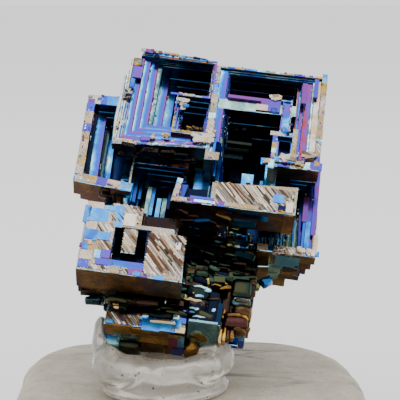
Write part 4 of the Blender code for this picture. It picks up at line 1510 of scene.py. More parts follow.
    *growths(Form.SOFT, (),
        (-3.49, -0.2, 13.91, 0.76, 0.3, 0.65, 0.62, 0.2, 0, 0.1)),
    *growths(Form.SHARDS, (),
        (-1.92, -0.15, 10.49, 2.26, 0.3, 0.64, 0.12, 0.35, 0.3, 0.05),
        (-6.91, -0.1, 8.48, 0.75, 0.3, 0.95, 0.03, 0.1, 0.3, 0.03),
        (-5.47, -0.15, 8.91, 1.25, 0.3, 0.79, 0.08, 0.05, 0.3, 0.05)),
    *growths(Form.SOFT, (),
        (-7.84, -0.05, 8.06, 1.25, 0.3, 0.63, 0.36, 0.1, 0, 0.1)),
    *growths(Form.SHARDS, (-0.1, 0.3),
        (-0.82, 9.12, 3.12, 1.58, 0.02, 0.02, 0.3, 0.03),
        (0.04, 10.36, 1.38, 1.27, 0.03, 0.1, 0.3, 0.03),
        (-11, 15.26, 1.15, 1, 0.04, 0.3, 0.6, 0.03),
        (-11.07, 14.43, 1.02, 0.99, 0.03, 0.45, 0.6, 0.03)),
    *growths(Form.ROUND, (),
        (-10.46, -0.1, 20.22, 1.17, 0.3, 1.37, 0.1, 0.15, 0, 0.08),
        (-10.45, -0.2, 20.14, 0.65, 0.3, 0.68, 0.86, 0.1, 0, 0.05)),
    *growths(Form.SHARDS, (),
        (-9.26, -0.1, 22.22, 1.31, 0.3, 0.87, 0.36, 0.05, 0, 0.1),
        (-8.31, -0.1, 21.51, 0.91, 0.3, 0.86, 0.5, 0.97, 0, 0)),
    *growths(Form.SOFT, (),
        (-10.71, -0.05, 16.68, 0.64, 0.3, 1.67, 0.6, 0.05, 0, 0.05)),
    *growths(Form.PLATE, (),
        (-10.34, -0.05, 18.5, 1.16, 0.3, 1.86, 0.36, 0.05, 0, 0.1),
        (4.17, 0.12, 16.57, 5.23, 0.3, 0.5, 0.35, 0.12, 0, 0.03),
        (7.52, 0.02, 15.71, 1.59, 0.3, 1.89, 0.41, 0.12, 0.1, 0.05),
        (6.29, 0.06, 16, 0.95, 0.3, 0.82, 0.37, 0.15, 0.1, 0.05),
        (6.01, 0.02, 15.27, 1.52, 0.3, 0.98, 0.03, 0.08, 0.3, 0.03)),
    *growths(Form.SHARDS, (),
        (7.58, -0.15, 17.02, 1.72, 0.3, 1.32, 0.03, 0.02, 0.3, 0.03)),
    *growths(Form.SOFT, (),
        (7.54, -0.1, 15, 0.76, 0.3, 0.82, 0.5, 0.25, 0.1, 0.05),
        (7.95, -0.2, 6.52, 0.74, 0.3, 1.24, 0.8, 0.1, 0, 0.05)),
    *growths(Form.SHARDS, (),
        (9.93, -0.25, 7.72, 2.96, 0.3, 1.24, 0.03, 0.1, 0.4, 0.03),
        (12.47, -0.2, 8.46, 2.23, 0.3, 1.25, 0.03, 0.2, 0.4, 0.03)),
    *growths(Form.ROUND, (),
        (9.63, -0.1, 11.39, 1, 0.3, 0.96, 0.5, 0.97, 0, 0),
        (9.07, -0.3, 11.86, 0.75, 0.3, 0.8, 0.66, 0.1, 0, 0.02)),
    *growths(Form.SHARDS, (),
        (11.29, -0.05, 7.3, 1.85, 0.3, 0.93, 0.04, 0.3, 0.4, 0.03),
        (7.3, -0.2, 6.88, 0.99, 0.3, 0.93, 0.04, 0.15, 0.3, 0.03)),
    *growths(Form.PLATE, (),
        (11.15, 0.1, 18.45, 0.64, 0.3, 3.33, 0.38, 0.2, 0, 0.08),
        (12.57, -0.05, 19.39, 0.58, 0.3, 3.02, 0.44, 0.15, 0, 0.08),
        (-9.83, 4.7, 6, 0.76, 0.5, 2.52, 0.73, 0.1, 0, 0.05),
        (-8.85, 4.8, 3.5, 0.44, 0.5, 3.87, 0.7, 0.2, 0, 0.1),
        (-8.35, 4.9, 3.49, 0.44, 0.5, 3.56, 0.56, 0.45, 0, 0.05),
        (-6.56, 4.8, 2.01, 0.56, 0.5, 4.75, 0.86, 0.35, 0, 0.05),
        (-6.03, 4.9, 2.24, 0.44, 0.5, 4.3, 0.66, 0.35, 0, 0.1),
        (-5.19, 4.9, 1.15, 0.56, 0.5, 3.35, 0.74, 0.2, 0, 0.08),
        (-4.52, 5, 1.25, 0.56, 0.5, 3.5, 0.9, 0.45, 0, 0.1),
        (-7.73, 5.2, 4.66, 0.38, 0.5, 4.37, 0.64, 0.6, 0, 0.05),
        (-4.02, 5.2, 3.37, 0.38, 0.5, 3.71, 0.5, 0.9, 0, 0.05)),
)


@dataclass(frozen=True)
class MeltField:
    """A gap filled with small rounded growths."""

    low: tuple
    high: tuple
    count: int
    sizes: tuple
    films: tuple


# Films of the growths that fill the gaps. In the olive melt the high shade and the black growths
# are painted shade in the gaps; the olive and green are the film's own.
OLIVE_MELT_IN_PAINTED_SHADE = ((0.96, 0.84, 0, 0.02), (0.98, 0.76, 0.1, 0.02), (0.18, 0.70, 0.1, 0.02),
             (1.0, 0.86, 0, 0.02), (0.95, 0.72, 0, 0.02), (0.5, 0.975, 0, 0),
             (0.5, 0.975, 0, 0), (0.14, 0.84, 0.2, 0.02))
BROWN_MELT = ((0.18, 0.40, 0.4, 0.02), (0.19, 0.55, 0.5, 0.02), (0.17, 0.35, 0.4, 0.02),
              (0.64, 0.80, 0.1, 0.03), (0.19, 0.7, 0.3, 0.02))
SHADOW_MELT = ((0.18, 0.72, 0.4, 0.02), (0.17, 0.84, 0.4, 0.02), (0.5, 0.97, 0, 0))
GREEN_MELT = ((0.95, 0.60, 0, 0.04), (0.91, 0.74, 0, 0.03), (0.5, 0.97, 0, 0),
              (0.97, 0.75, 0, 0.03), (0.90, 0.62, 0, 0.03))

MELT_FIELDS = (
    MeltField((-0.2, 5.0, -8.6), (7.4, 6.6, -1.6), 70, (0.7, 2.2), OLIVE_MELT_IN_PAINTED_SHADE),
    MeltField((-0.4, 3.0, -9.8), (4.2, 3.5, -7.3), 26, (0.7, 2.0), OLIVE_MELT_IN_PAINTED_SHADE),
    MeltField((-8.6, 3.6, -14.4), (0.4, 5.4, -10.6), 40, (0.9, 2.4), OLIVE_MELT_IN_PAINTED_SHADE),
    MeltField((-12.0, 2.6, -12.0), (-8.8, 4.6, -10.2), 16, (0.9, 2.2), BROWN_MELT),
    MeltField((-11.0, 4.6, -12.7), (-8.6, 6.4, -10.4), 16, (0.7, 1.9), GREEN_MELT),
    MeltField((4.4, 4.6, -13.4), (7.0, 5.4, -6.5), 22, (0.7, 1.9), OLIVE_MELT_IN_PAINTED_SHADE),
    MeltField((-1.9, 0, -2.2), (3.2, 3.4, -1.9), 12, (0.7, 1.9), BROWN_MELT),
    MeltField((-10.4, 0.5, 6.8), (-0.8, 2.2, 7.0), 22, (0.6, 1.8), SHADOW_MELT),
    MeltField((-12.2, 3.0, 1.8), (-9.0, 5.0, 2.3), 9, (0.7, 1.8), BROWN_MELT),
    MeltField((0.5, 3.3, -14.4), (4.1, 3.6, -10.8), 12, (0.7, 1.8), OLIVE_MELT_IN_PAINTED_SHADE),
    MeltField((10.2, 6.2, -3.3), (13.0, 8.6, -2.9), 5, (0.8, 2.0), BROWN_MELT),
)


@dataclass
class SmallGrowths:
    """Every small growth: those with a place of their own, and those that fill the gaps."""

    growths: tuple = GROWTHS
    fields: tuple = MELT_FIELDS
    shards: int = 9
    lengths: tuple = (1.25, 0.8, 0.45)
    kneading: float = 0.17
    seed: int = 31

    def build(self) -> bpy.types.Object:
        """Copies one block of each form to each growth's place.

        Returns:
            All the growths as one object, in the lattice frame.
        """
        dice = random.Random(self.seed)
        blocks = {form: self.block(form) for form in Form}
        placed = []
        for growth in self.growths:
            parts = self.shatter(growth, dice) if growth.form is Form.SHARDS else [growth]
            placed += [self.grow(blocks, part) for part in parts]
        for melt in self.fields:
            placed += [self.grow(blocks, growth) for growth in self.scatter(melt, dice)]
        for block in blocks.values():
            bpy.data.objects.remove(block, do_unlink=True)
        return join(placed, "small_growths")

    def block(self, form: Form) -> bpy.types.Object:
        """The unit shape of one form.

        Args:
            form: the form.

        Returns:
            The shape, to be copied and stretched.
        """
        if form is Form.DISC:
            deselect()
            bpy.ops.mesh.primitive_cylinder_add(vertices=24, radius=0.5, depth=1.0)
            return bpy.context.object
        block = bevelled_block(form.name.lower(), *form.value)
        if form not in (Form.PLATE, Form.SHARDS):
            activate(block)
            bpy.ops.object.shade_smooth()
        return block

    def shatter(self, growth: Growth, dice: random.Random) -> list:
        """Fills the place of one growth with small angular shards.

        Args:
            growth: the place, with the shards' usual film.
            dice: the source of chance.

        Returns:
            The shards.
        """
        thickness, shade, grain, patch = growth.film
        shards = []
        for _ in range(self.shards):
            share = (dice.uniform(0.25, 0.6), dice.uniform(0.6, 1.1), dice.uniform(0.22, 0.55))
            size = tuple(s * k for s, k in zip(growth.size, share))
            middle = tuple(m + (s - p) * dice.uniform(-0.5, 0.5)
                           for m, s, p in zip(growth.middle, growth.size, size))
            film = (max(0.0, thickness + dice.uniform(-0.03, 0.03)),
                    min(BLACKEST, shade + dice.choice((0.0, 0.05, 0.15, 0.5))), grain, patch)
            shards.append(Growth(middle, size, film, Form.SHARDS,
                                 growth.turn + dice.uniform(-28, 28)))
        return shards

    def scatter(self, melt: MeltField, dice: random.Random) -> list:
        """Throws the growths of one gap.

        Args:
            melt: the gap.
            dice: the source of chance.

        Returns:
            The growths.
        """
        thrown = []
        for _ in range(melt.count):
            middle = tuple(dice.uniform(a, b) for a, b in zip(melt.low, melt.high))
            size = tuple(dice.uniform(*melt.sizes) * w for w in self.lengths)
            thrown.append(Growth(middle, size, dice.choice(melt.films),
                                 dice.choice((Form.SOFT, Form.ROUND, Form.SOFT, Form.PLATE)),
                                 dice.uniform(-12, 12)))
        return thrown

    def grow(self, blocks: dict, growth: Growth) -> bpy.types.Object:
        """Places one growth and kneads it a little.

        Args:
            blocks: the unit shape of each form.
            growth: what to place.

        Returns:
            The growth, as an object in the lattice frame.
        """
        axis = "Z" if growth.form is Form.DISC else "Y"
        seat = (Matrix.Translation(growth.middle)
                @ Matrix.Rotation(math.radians(growth.turn), 4, axis))
        copy = stretched_copy(blocks[growth.form], seat, growth.size, growth.film)
        if growth.form in (Form.SOFT, Form.ROUND):
            for vert in copy.data.vertices:
                vert.co += self.kneading * MM * noise.noise_vector(vert.co / MM * 1.5)
        return copy


def new_group(name: str, inputs: tuple, outputs: tuple) -> tuple:
    """Starts a shader node group.

    Args:
        name: the group's name.
        inputs: (name, socket type, default) for each input.
        outputs: (name, socket type) for each output.

    Returns:
        A bench on the group, its input node's outputs and its output node's inputs.
    """
    tree = bpy.data.node_groups.new(name, "ShaderNodeTree")
    for label, kind, default in inputs:
        socket = tree.interface.new_socket(label, in_out="INPUT", socket_type=kind)
        if default is not None:
            socket.default_value = default
    for label, kind in outputs:
        tree.interface.new_socket(label, in_out="OUTPUT", socket_type=kind)
    give, take = tree.nodes.new("NodeGroupInput"), tree.nodes.new("NodeGroupOutput")
    return Bench(tree), give.outputs, take.inputs


@dataclass
class Bench:
    """A node tree being wired, with short ways to add nodes."""

    tree: bpy.types.NodeTree

    def node(self, kind: str, **settings: object) -> bpy.types.Node:
        """Adds a node.

        Args:
            kind: its type.
            settings: its properties.

        Returns:
            The node.
        """
        node = self.tree.nodes.new(kind)
        for key, value in settings.items():
            setattr(node, key, value)
        return node

    def wire(self, source: object, socket: object) -> None:
        """Links an output to an input, or writes a constant on the input.

        Args:
            source: the output or the constant.
            socket: the input.
        """
        if isinstance(source, bpy.types.NodeSocket):
            self.tree.links.new(source, socket)
        else:
            socket.default_value = source

    def math(self, operation: str, *values: object, clamp: bool = False) -> object:
        """Adds a Math node.

        Args:
            operation: what it does.
            values: its inputs.
            clamp: whether the result is kept from 0 to 1.

        Returns:
            Its result.
        """
        node = self.node("ShaderNodeMath", operation=operation, use_clamp=clamp)
        for value, socket in zip(values, node.inputs):
            self.wire(value, socket)
        return node.outputs[0]

    def mix(self, amount: object, first: object, second: object, blend: str = "MIX") -> object:
        """Mixes two colours.

        Args:
            amount: the second colour's share.
            first: the first colour.
            second: the second colour.
            blend: how they mix.

        Returns:
            The mixed colour.
        """
        node = self.node("ShaderNodeMix", data_type="RGBA", blend_type=blend)
        self.wire(amount, node.inputs[0])
        self.wire(first, node.inputs[6])
        self.wire(second, node.inputs[7])
        return node.outputs[2]

    def noise(self, vector: object, scale: float, detail: float = 2.0,
              rough: float = 0.5, warp: float = 0.0) -> object:
        """Adds a noise.

        Args:
            vector: where it is read.
            scale: how fine it is.
            detail: its octaves.
            rough: how strong the fine octaves are.
            warp: how far it is distorted.

        Returns:
            Its value, about 0.5.
        """
        node = self.node("ShaderNodeTexNoise")
        self.wire(vector, node.inputs["Vector"])
        for key, value in (("Scale", scale), ("Detail", detail), ("Roughness", rough),
                           ("Distortion", warp)):
            node.inputs[key].default_value = value
        return node.outputs["Fac"]

    def ramp(self, value: object, stops: tuple, mode: str = "LINEAR") -> object:
        """Adds a colour ramp.

        Args:
            value: where it is read.
            stops: (position, colour) for each stop.
            mode: how it blends from stop to stop.

        Returns:
            Its colour.
        """
        node = self.node("ShaderNodeValToRGB")
        node.color_ramp.interpolation = mode
        elements = node.color_ramp.elements
        while len(elements) > 1:
            elements.remove(elements[-1])
        elements[0].position, elements[0].color = stops[0][0], (*stops[0][1], 1.0)
        for position, colour in stops[1:]:
            elements.new(position).color = (*colour, 1.0)
        self.wire(value, node.inputs[0])
        return node.outputs[0]

    def range(self, value: object, low: float, high: float, to_low: float = 0.0,
              to_high: float = 1.0) -> object:
        """Adds a clamped change of range.

        Args:
            value: the value.
            low: what becomes to_low.
            high: what becomes to_high.
            to_low: the new low end.
            to_high: the new high end.

        Returns:
            The new value.
        """
        node = self.node("ShaderNodeMapRange")
        for source, socket in zip((value, low, high, to_low, to_high), node.inputs):
            self.wire(source, socket)
        return node.outputs[0]

    def group(self, tree: bpy.types.NodeTree, **values: object) -> bpy.types.Node:
        """Places a node group.

        Args:
            tree: the group.
            values: what its inputs get.

        Returns:
            The node.
        """
        node = self.node("ShaderNodeGroup", node_tree=tree)
        for key, value in values.items():
            self.wire(value, node.inputs[key])
        return node

    def bump(self, shader: bpy.types.Node, height: object, strength: float,
             distance: float) -> None:
        """Gives a shader a relief.

        Args:
            shader: the shader.
            height: the relief's height, from 0 to 1.
            strength: how strongly it shows.
            distance: its depth, in metres.
        """
        node = self.node("ShaderNodeBump")
        for key, value in (("Strength", strength), ("Distance", distance), ("Height", height)):
            self.wire(value, node.inputs[key])
        self.wire(node.outputs[0], shader.inputs["Normal"])


# Film thickness and the colour it shows: bare metal, gold, brown, rose, magenta, violet, blues,
# ice white, pale green, teal, bottle green and olive.
OXIDE_COLOURS = (
    (0.00, (0.60, 0.54, 0.48)),
    (0.07, (0.46, 0.35, 0.22)),
    (0.105, (0.62, 0.38, 0.07)),
    (0.14, (0.32, 0.16, 0.03)),
    (0.18, (0.11, 0.055, 0.028)),
    (0.21, (0.12, 0.05, 0.03)),
    (0.27, (0.26, 0.05, 0.07)),
    (0.34, (0.19, 0.045, 0.22)),
    (0.42, (0.10, 0.06, 0.40)),
    (0.51, (0.04, 0.07, 0.45)),
    (0.61, (0.02, 0.11, 0.45)),
    (0.70, (0.03, 0.23, 0.66)),
    (0.77, (0.08, 0.42, 0.74)),
    (0.82, (0.52, 0.82, 0.88)),
    (0.86, (0.32, 0.52, 0.42)),
    (0.90, (0.06, 0.19, 0.29)),
    (0.95, (0.06, 0.16, 0.09)),
    (1.00, (0.24, 0.23, 0.07)),
)


class SharedEffects:
    """Node groups that more than one finish uses."""

    def __init__(self) -> None:
        """Builds the groups once."""
        self.film = self.film_group()
        self.striae = self.striae_group()
        self.specks = self.specks_group()

    def film_group(self) -> bpy.types.NodeTree:
        """The colour that a film of some thickness shows, darkened towards black by Shade, which
        carries both the film's own dark tones and painted shade.

        Returns:
            The node group.
        """
        bench, give, take = new_group(
            "oxide_film",
            (("Thickness", "NodeSocketFloat", 0.5), ("Shade", "NodeSocketFloat", 0.0)),
            (("Color", "NodeSocketColor"),))
        colour = bench.ramp(give["Thickness"], OXIDE_COLOURS)
        dark = bench.mix(give["Shade"], colour, (0.004, 0.006, 0.010, 1.0))
        bench.wire(dark, take["Color"])
        return bench.tree

    def striae_group(self) -> bpy.types.NodeTree:
        """Fine slanted growth lines, as a height from 0 to 1.

        Returns:
            The node group.
        """
        bench, give, take = new_group(
            "growth_lines",
            (("Vector", "NodeSocketVector", None), ("Lines", "NodeSocketFloat", 3.0)),
            (("Height", "NodeSocketFloat"),))
        split = bench.node("ShaderNodeSeparateXYZ")
        bench.wire(give["Vector"], split.inputs[0])
        rise = bench.math("ADD", split.outputs["Y"], split.outputs["Z"])
        phase = bench.math("ADD", bench.math("MULTIPLY", split.outputs["X"], 0.80),
                           bench.math("MULTIPLY", rise, 0.60))
        bend = bench.noise(give["Vector"], 0.6, 2.0)
        phase = bench.math("ADD", phase, bench.math("MULTIPLY", bend, 0.9))
        turns = bench.math("MULTIPLY", phase, give["Lines"])
        waves = bench.math("SINE", bench.math("MULTIPLY", turns, math.tau))
        broken = bench.noise(give["Vector"], 2.3, 3.0)
        height = bench.math("MULTIPLY_ADD", waves, 0.5, broken)
        bench.wire(bench.range(height, 0.0, 1.0), take["Height"])
        return bench.tree

    def specks_group(self) -> bpy.types.NodeTree:
        """Scattered specks, as a mask.

        Returns:
            The node group.
        """
        bench, give, take = new_group(
            "specks",
            (("Vector", "NodeSocketVector", None), ("Scale", "NodeSocketFloat", 3.0),
             ("Size", "NodeSocketFloat", 0.12)),
            (("Mask", "NodeSocketFloat"),))
        cells = bench.node("ShaderNodeTexVoronoi")
        bench.wire(give["Vector"], cells.inputs["Vector"])
        bench.wire(give["Scale"], cells.inputs["Scale"])
        near = bench.math("LESS_THAN", cells.outputs["Distance"], give["Size"])
        bench.wire(near, take["Mask"])
        return bench.tree


def blank_material(name: str) -> tuple:
    """A new material, its bench and its Principled shader.

    Args:
        name: the material's name.

    Returns:
        The material, a bench on its tree, and the shader node.
    """
    material = bpy.data.materials.new(name)
    material.use_nodes = True
    return material, Bench(material.node_tree), material.node_tree.nodes["Principled BSDF"]


@dataclass(frozen=True)
class OxideFinish:
    """Bismuth's mirror-bright oxide: film colours, growth lines and fine ripples."""

    metallic: float = 1.0
    roughness: float = 0.13
    grain_roughness: float = 0.25
    lines_per_mm: float = 3.2
    ripple_depth: float = 0.00009

    def build(self, effects: SharedEffects, pose: Pose) -> bpy.types.Material:
        """Wires the material.

        Args:
            effects: the shared node groups.
            pose: the lattice's pose, which turns the pattern back onto the lattice.

        Returns:
            The material.
        """
        material, bench, shader = blank_material("bismuth_oxide")
        back = pose.matrix().inverted()
        mapping = bench.node("ShaderNodeMapping", vector_type="POINT")
        mapping.inputs["Rotation"].default_value = back.to_euler("XYZ")
        mapping.inputs["Location"].default_value = back.translation / MM
        mapping.inputs["Scale"].default_value = (1 / MM, 1 / MM, 1 / MM)
        bench.wire(bench.node("ShaderNodeTexCoord").outputs["Object"], mapping.inputs["Vector"])
        at = mapping.outputs[0]
        film = bench.node("ShaderNodeAttribute", attribute_name="film")
        parts = bench.node("ShaderNodeSeparateColor")
        bench.wire(film.outputs["Color"], parts.inputs[0])
        thickness, shade, grain = parts.outputs[0], parts.outputs[1], parts.outputs[2]
        patch = film.outputs["Alpha"]
        lines = bench.group(effects.striae, Vector=at, Lines=self.lines_per_mm)
        height = lines.outputs["Height"]
        broad = bench.range(bench.noise(at, 0.42, 3.0, 0.6, 0.6), 0.36, 0.68, -0.5, 1.0)
        fine = bench.math("SUBTRACT", bench.noise(at, 2.1, 4.0, 0.6), 0.5)
        wander = bench.math("MULTIPLY", broad, patch)
        wander = bench.math("ADD", wander, bench.math("MULTIPLY", fine, 0.05))
        total = bench.math("ADD", thickness, wander, clamp=True)
        groove = bench.math("MULTIPLY", grain, bench.math("SUBTRACT", 1.0, height))
        dark = bench.math("ADD", shade, bench.math("MULTIPLY", groove, 0.55), clamp=True)
        colour = bench.group(effects.film, Thickness=total, Shade=dark).outputs["Color"]
        bench.wire(colour, shader.inputs["Base Color"])
        shader.inputs["Metallic"].default_value = self.metallic
        rough = bench.math("MULTIPLY_ADD", grain, self.grain_roughness, self.roughness)
        rough = bench.math("ADD", rough, bench.math("MULTIPLY", bench.noise(at, 1.3, 3.0), 0.12))
        bench.wire(rough, shader.inputs["Roughness"])
        ripple = bench.noise(at, 1.1, 3.0, 0.55)
        relief = bench.math("ADD", bench.math("MULTIPLY", bench.math("MULTIPLY", height, grain),
                                              0.8),
                            bench.math("MULTIPLY", ripple, 0.16))
        bench.bump(shader, relief, 0.5, self.ripple_depth)
        return material


@dataclass(frozen=True)
class PuttyFinish:
    """Clear mounting putty: milky, smooth and slightly glossy."""

    colour: tuple = (0.94, 0.88, 0.78, 1.0)
    roughness: float = 0.17
    transmission: float = 0.86
    ior: float = 1.45

    def build(self, effects: SharedEffects) -> bpy.types.Material:
        """Wires the material, with dark flecks in the putty.

        Args:
            effects: the shared node groups.

        Returns:
            The material.
        """
        material, bench, shader = blank_material("clear_putty")
        at = bench.node("ShaderNodeTexCoord").outputs["Object"]
        flecks = bench.group(effects.specks, Vector=at, Scale=900.0, Size=0.13)
        colour = bench.mix(flecks.outputs["Mask"], self.colour, (0.10, 0.08, 0.07, 1.0))
        bench.wire(colour, shader.inputs["Base Color"])
        shader.inputs["Transmission Weight"].default_value = self.transmission
        shader.inputs["IOR"].default_value = self.ior
        cloud = bench.noise(at, 260.0, 3.0)
        bench.wire(bench.range(cloud, 0.3, 0.7, self.roughness, self.roughness + 0.16),
                   shader.inputs["Roughness"])
        bench.bump(shader, bench.noise(at, 320.0, 2.0), 0.25, 0.0003)
        return material


@dataclass(frozen=True)
class StoneFinish:
    """Warm grey worn stone with slanting darker veins."""

    pale: tuple = (0.50, 0.45, 0.36, 1.0)
    dark: tuple = (0.37, 0.33, 0.26, 1.0)
    vein: tuple = (0.12, 0.115, 0.095, 1.0)

    def build(self, effects: SharedEffects) -> bpy.types.Material:
        """Wires the material, with veins, mottling and pits.

        Args:
            effects: the shared node groups.

        Returns:
            The material.
        """
        material, bench, shader = blank_material("weathered_stone")
        at = bench.node("ShaderNodeTexCoord").outputs["Object"]
        turn = bench.node("ShaderNodeMapping")
        turn.inputs["Rotation"].default_value = (0.5, 0.3, 0.6)
        turn.inputs["Scale"].default_value = (1.0, 3.8, 3.8)
        bench.wire(at, turn.inputs["Vector"])
        mottle = bench.noise(at, 260.0, 6.0, 0.65)
        colour = bench.mix(bench.range(mottle, 0.35, 0.65), self.dark, self.pale)
        vein = bench.noise(turn.outputs[0], 34.0, 3.0, 0.55, 0.25)
        lines = bench.math("SUBTRACT", 1.0, bench.range(
            bench.math("ABSOLUTE", bench.math("SUBTRACT", vein, 0.5)), 0.0, 0.028))
        seams = bench.range(bench.noise(at, 70.0, 2.0), 0.42, 0.60, 0.15, 0.95)
        colour = bench.mix(bench.math("MULTIPLY", lines, seams), colour, self.vein)
        pits = bench.group(effects.specks, Vector=at, Scale=1400.0, Size=0.2)
        colour = bench.mix(bench.math("MULTIPLY", pits.outputs["Mask"], 0.35), colour, self.vein)
        bench.wire(colour, shader.inputs["Base Color"])
        bench.wire(bench.range(mottle, 0.3, 0.7, 0.75, 0.92), shader.inputs["Roughness"])
        grain = bench.noise(at, 1800.0, 5.0, 0.7)
        relief = bench.math("ADD", grain, bench.math("MULTIPLY", mottle, 1.2))
        bench.bump(shader, relief, 0.5, 0.00025)
        return material


@dataclass
class MountingPutty:
    """The lump that grips the crystal's feet, spread where it meets the stone."""

    middle: tuple = (-2.7, -5.2)
    base: float = 9.5
    profile: tuple = ((0.0, 7.6, 7.8), (0.5, 7.5, 7.7), (1.2, 7.0, 7.2), (2.2, 6.9, 7.0),
                      (3.4, 7.1, 7.0), (4.3, 7.2, 6.8), (4.9, 6.8, 6.2))
    dabs: tuple = (((-10.2, -5.0, 15.0), (2.2, 5.6, 7.0)), ((-9.4, -7.6, 12.9), (3.6, 6.6, 4.6)),
                   ((3.4, -6.0, 13.4), (4.6, 7.4, 4.6)), ((1.6, -9.0, 12.9), (5.4, 4.6, 3.6)),
                   ((-6.2, -9.4, 12.6), (7.6, 4.6, 4.0)), ((-2.7, -5.2, 10.2), (16.0, 16.4, 2.2)))
    sides: int = 32
    lump: float = 0.42
    rim: float = 0.9
    cup: float = 1.6
    dip: float = -0.8
    weld: float = 0.24

    def build(self) -> bpy.types.Object:
        """Draws the column ring by ring, presses dabs onto it and kneads it.

        Returns:
            The putty, in the stand's frame.
        """
        column = self.column()
        obj = join([column] + [self.dab(*place_and_size) for place_and_size in self.dabs],
                   "putty_lump")
        remesh = obj.modifiers.new("Weld", "REMESH")
        remesh.mode = "VOXEL"
        remesh.voxel_size = self.weld * MM
        activate(obj)
        bpy.ops.object.modifier_apply(modifier=remesh.name)
        smooth = obj.modifiers.new("Smooth", "SMOOTH")
        smooth.factor, smooth.iterations = 0.5, 30
        bpy.ops.object.modifier_apply(modifier=smooth.name)
        for vert in obj.data.vertices:
            at = vert.co / MM
            knead = noise.noise_vector(at * 0.24 + Vector((3.1, 0.0, 7.0)))
            knead += 0.2 * noise.noise_vector(at * 0.7)
            level = min(1.0, max(0.0, (at.z - self.base) / 1.2))
            vert.co += Vector((knead.x, knead.y, 0.5 * level * knead.z)) * self.lump * MM
        bpy.ops.object.shade_smooth()
        return obj

    def column(self) -> bpy.types.Object:
        """The column between the stone and the crystal's feet, with a cupped top.

        Returns:
            The column.
        """
        deselect()
        low = self.profile[0]
        bpy.ops.mesh.primitive_circle_add(
            vertices=self.sides, radius=MM, fill_type="NGON",
            location=(self.middle[0] * MM, self.middle[1] * MM, (self.base + low[0]) * MM))
        obj = bpy.context.object
        bpy.ops.object.transform_apply(location=True)
        bpy.ops.object.mode_set(mode="EDIT")
        bpy.ops.mesh.select_all(action="SELECT")
        centre = Vector((self.middle[0], self.middle[1], self.base)) * MM
        bpy.ops.transform.resize(value=(low[1], low[2], 1.0), center_override=centre)
        before = low
        for ring in self.profile[1:]:
            bpy.ops.mesh.extrude_region_move(
                TRANSFORM_OT_translate={"value": (0.0, 0.0, (ring[0] - before[0]) * MM)})
            bpy.ops.transform.resize(value=(ring[1] / before[1], ring[2] / before[2], 1.0),
                                     center_override=centre)
            before = ring
        bpy.ops.mesh.inset(thickness=self.rim * MM)
        bpy.ops.mesh.inset(thickness=self.cup * MM)
        bpy.ops.transform.translate(value=(0.0, 0.0, self.dip * MM))
        bpy.ops.mesh.select_all(action="SELECT")
        bpy.ops.mesh.normals_make_consistent(inside=False)
        bpy.ops.object.mode_set(mode="OBJECT")
        return obj

    def dab(self, middle: tuple, size: tuple) -> bpy.types.Object:
        """A rounded dab of putty.

        Args:
            middle: its middle, in millimetres.
            size: its width, depth and height.

        Returns:
            The dab.
        """
        deselect()
        bpy.ops.mesh.primitive_uv_sphere_add(segments=20, ring_count=12, radius=0.5)
        dab = bpy.context.object
        dab.data.transform(Matrix.Scale(MM, 4) @ Matrix.Translation(middle)
                           @ Matrix.Diagonal((*size, 1.0)))
        return dab


@dataclass
class BaseStone:
    """The worn flat stone under the putty."""

    half_width: float = 22.6
    half_depth: float = 23.4
    profile: tuple = ((0.0, 0.90), (0.5, 0.935), (1.4, 0.965), (3.2, 0.99), (5.4, 0.995),
                      (7.0, 0.975), (8.1, 0.945), (8.9, 0.905), (9.3, 0.86), (9.4, 0.80))
    sides: int = 96
    squareness: float = 3.2
    top_rings: int = 9
    ring_width: float = 1.9

    def reach(self, angle: float) -> float:
        """How far the edge lies from the middle, a lumpy rounded rectangle.

        Args:
            angle: the direction from the middle.

        Returns:
            The distance, about 1.
        """
        c, s = abs(math.cos(angle)), abs(math.sin(angle))
        oval = (c ** self.squareness + s ** self.squareness) ** (-1 / self.squareness)
        lumps = 1.0 + 0.018 * math.sin(3 * angle + 0.7) + 0.012 * math.sin(5 * angle + 2.0)
        return oval * lumps / 1.03

    def build(self) -> bpy.types.Object:
        """Draws the stone ring by ring and wears its surface.

        Returns:
            The stone, in the stand's frame.
        """
        deselect()
        bpy.ops.mesh.primitive_circle_add(vertices=self.sides, radius=MM, fill_type="NGON")
        obj = bpy.context.object
        obj.name = "worn_stone"
        bpy.ops.object.mode_set(mode="EDIT")
        bpy.ops.mesh.select_all(action="SELECT")
        scale = self.profile[0][1]
        bpy.ops.transform.resize(value=(self.half_width * scale, self.half_depth * scale, 1.0),
                                 center_override=(0.0, 0.0, 0.0))
        height = 0.0
        for level, size in self.profile[1:]:
            bpy.ops.mesh.extrude_region_move(
                TRANSFORM_OT_translate={"value": (0.0, 0.0, (level - height) * MM)})
            bpy.ops.transform.resize(value=(size / scale, size / scale, 1.0),
                                     center_override=(0.0, 0.0, 0.0))
            height, scale = level, size
        for _ in range(self.top_rings):
            bpy.ops.mesh.inset(thickness=self.ring_width * MM)
        bpy.ops.mesh.select_all(action="SELECT")
        bpy.ops.mesh.normals_make_consistent(inside=False)
        bpy.ops.object.mode_set(mode="OBJECT")
        for vert in obj.data.vertices:
            angle = math.atan2(vert.co.y / self.half_depth, vert.co.x / self.half_width)
            reach = self.reach(angle)
            vert.co.x *= reach
            vert.co.y *= reach
            at = vert.co / MM
            if at.z > 0.2:
                wear = noise.noise_vector(at * 0.22) * 0.25 + noise.noise_vector(at * 0.8) * 0.08
                vert.co += Vector((wear.x, wear.y, -abs(wear.z) * 0.8)) * MM
        bpy.ops.object.shade_smooth()
        return obj


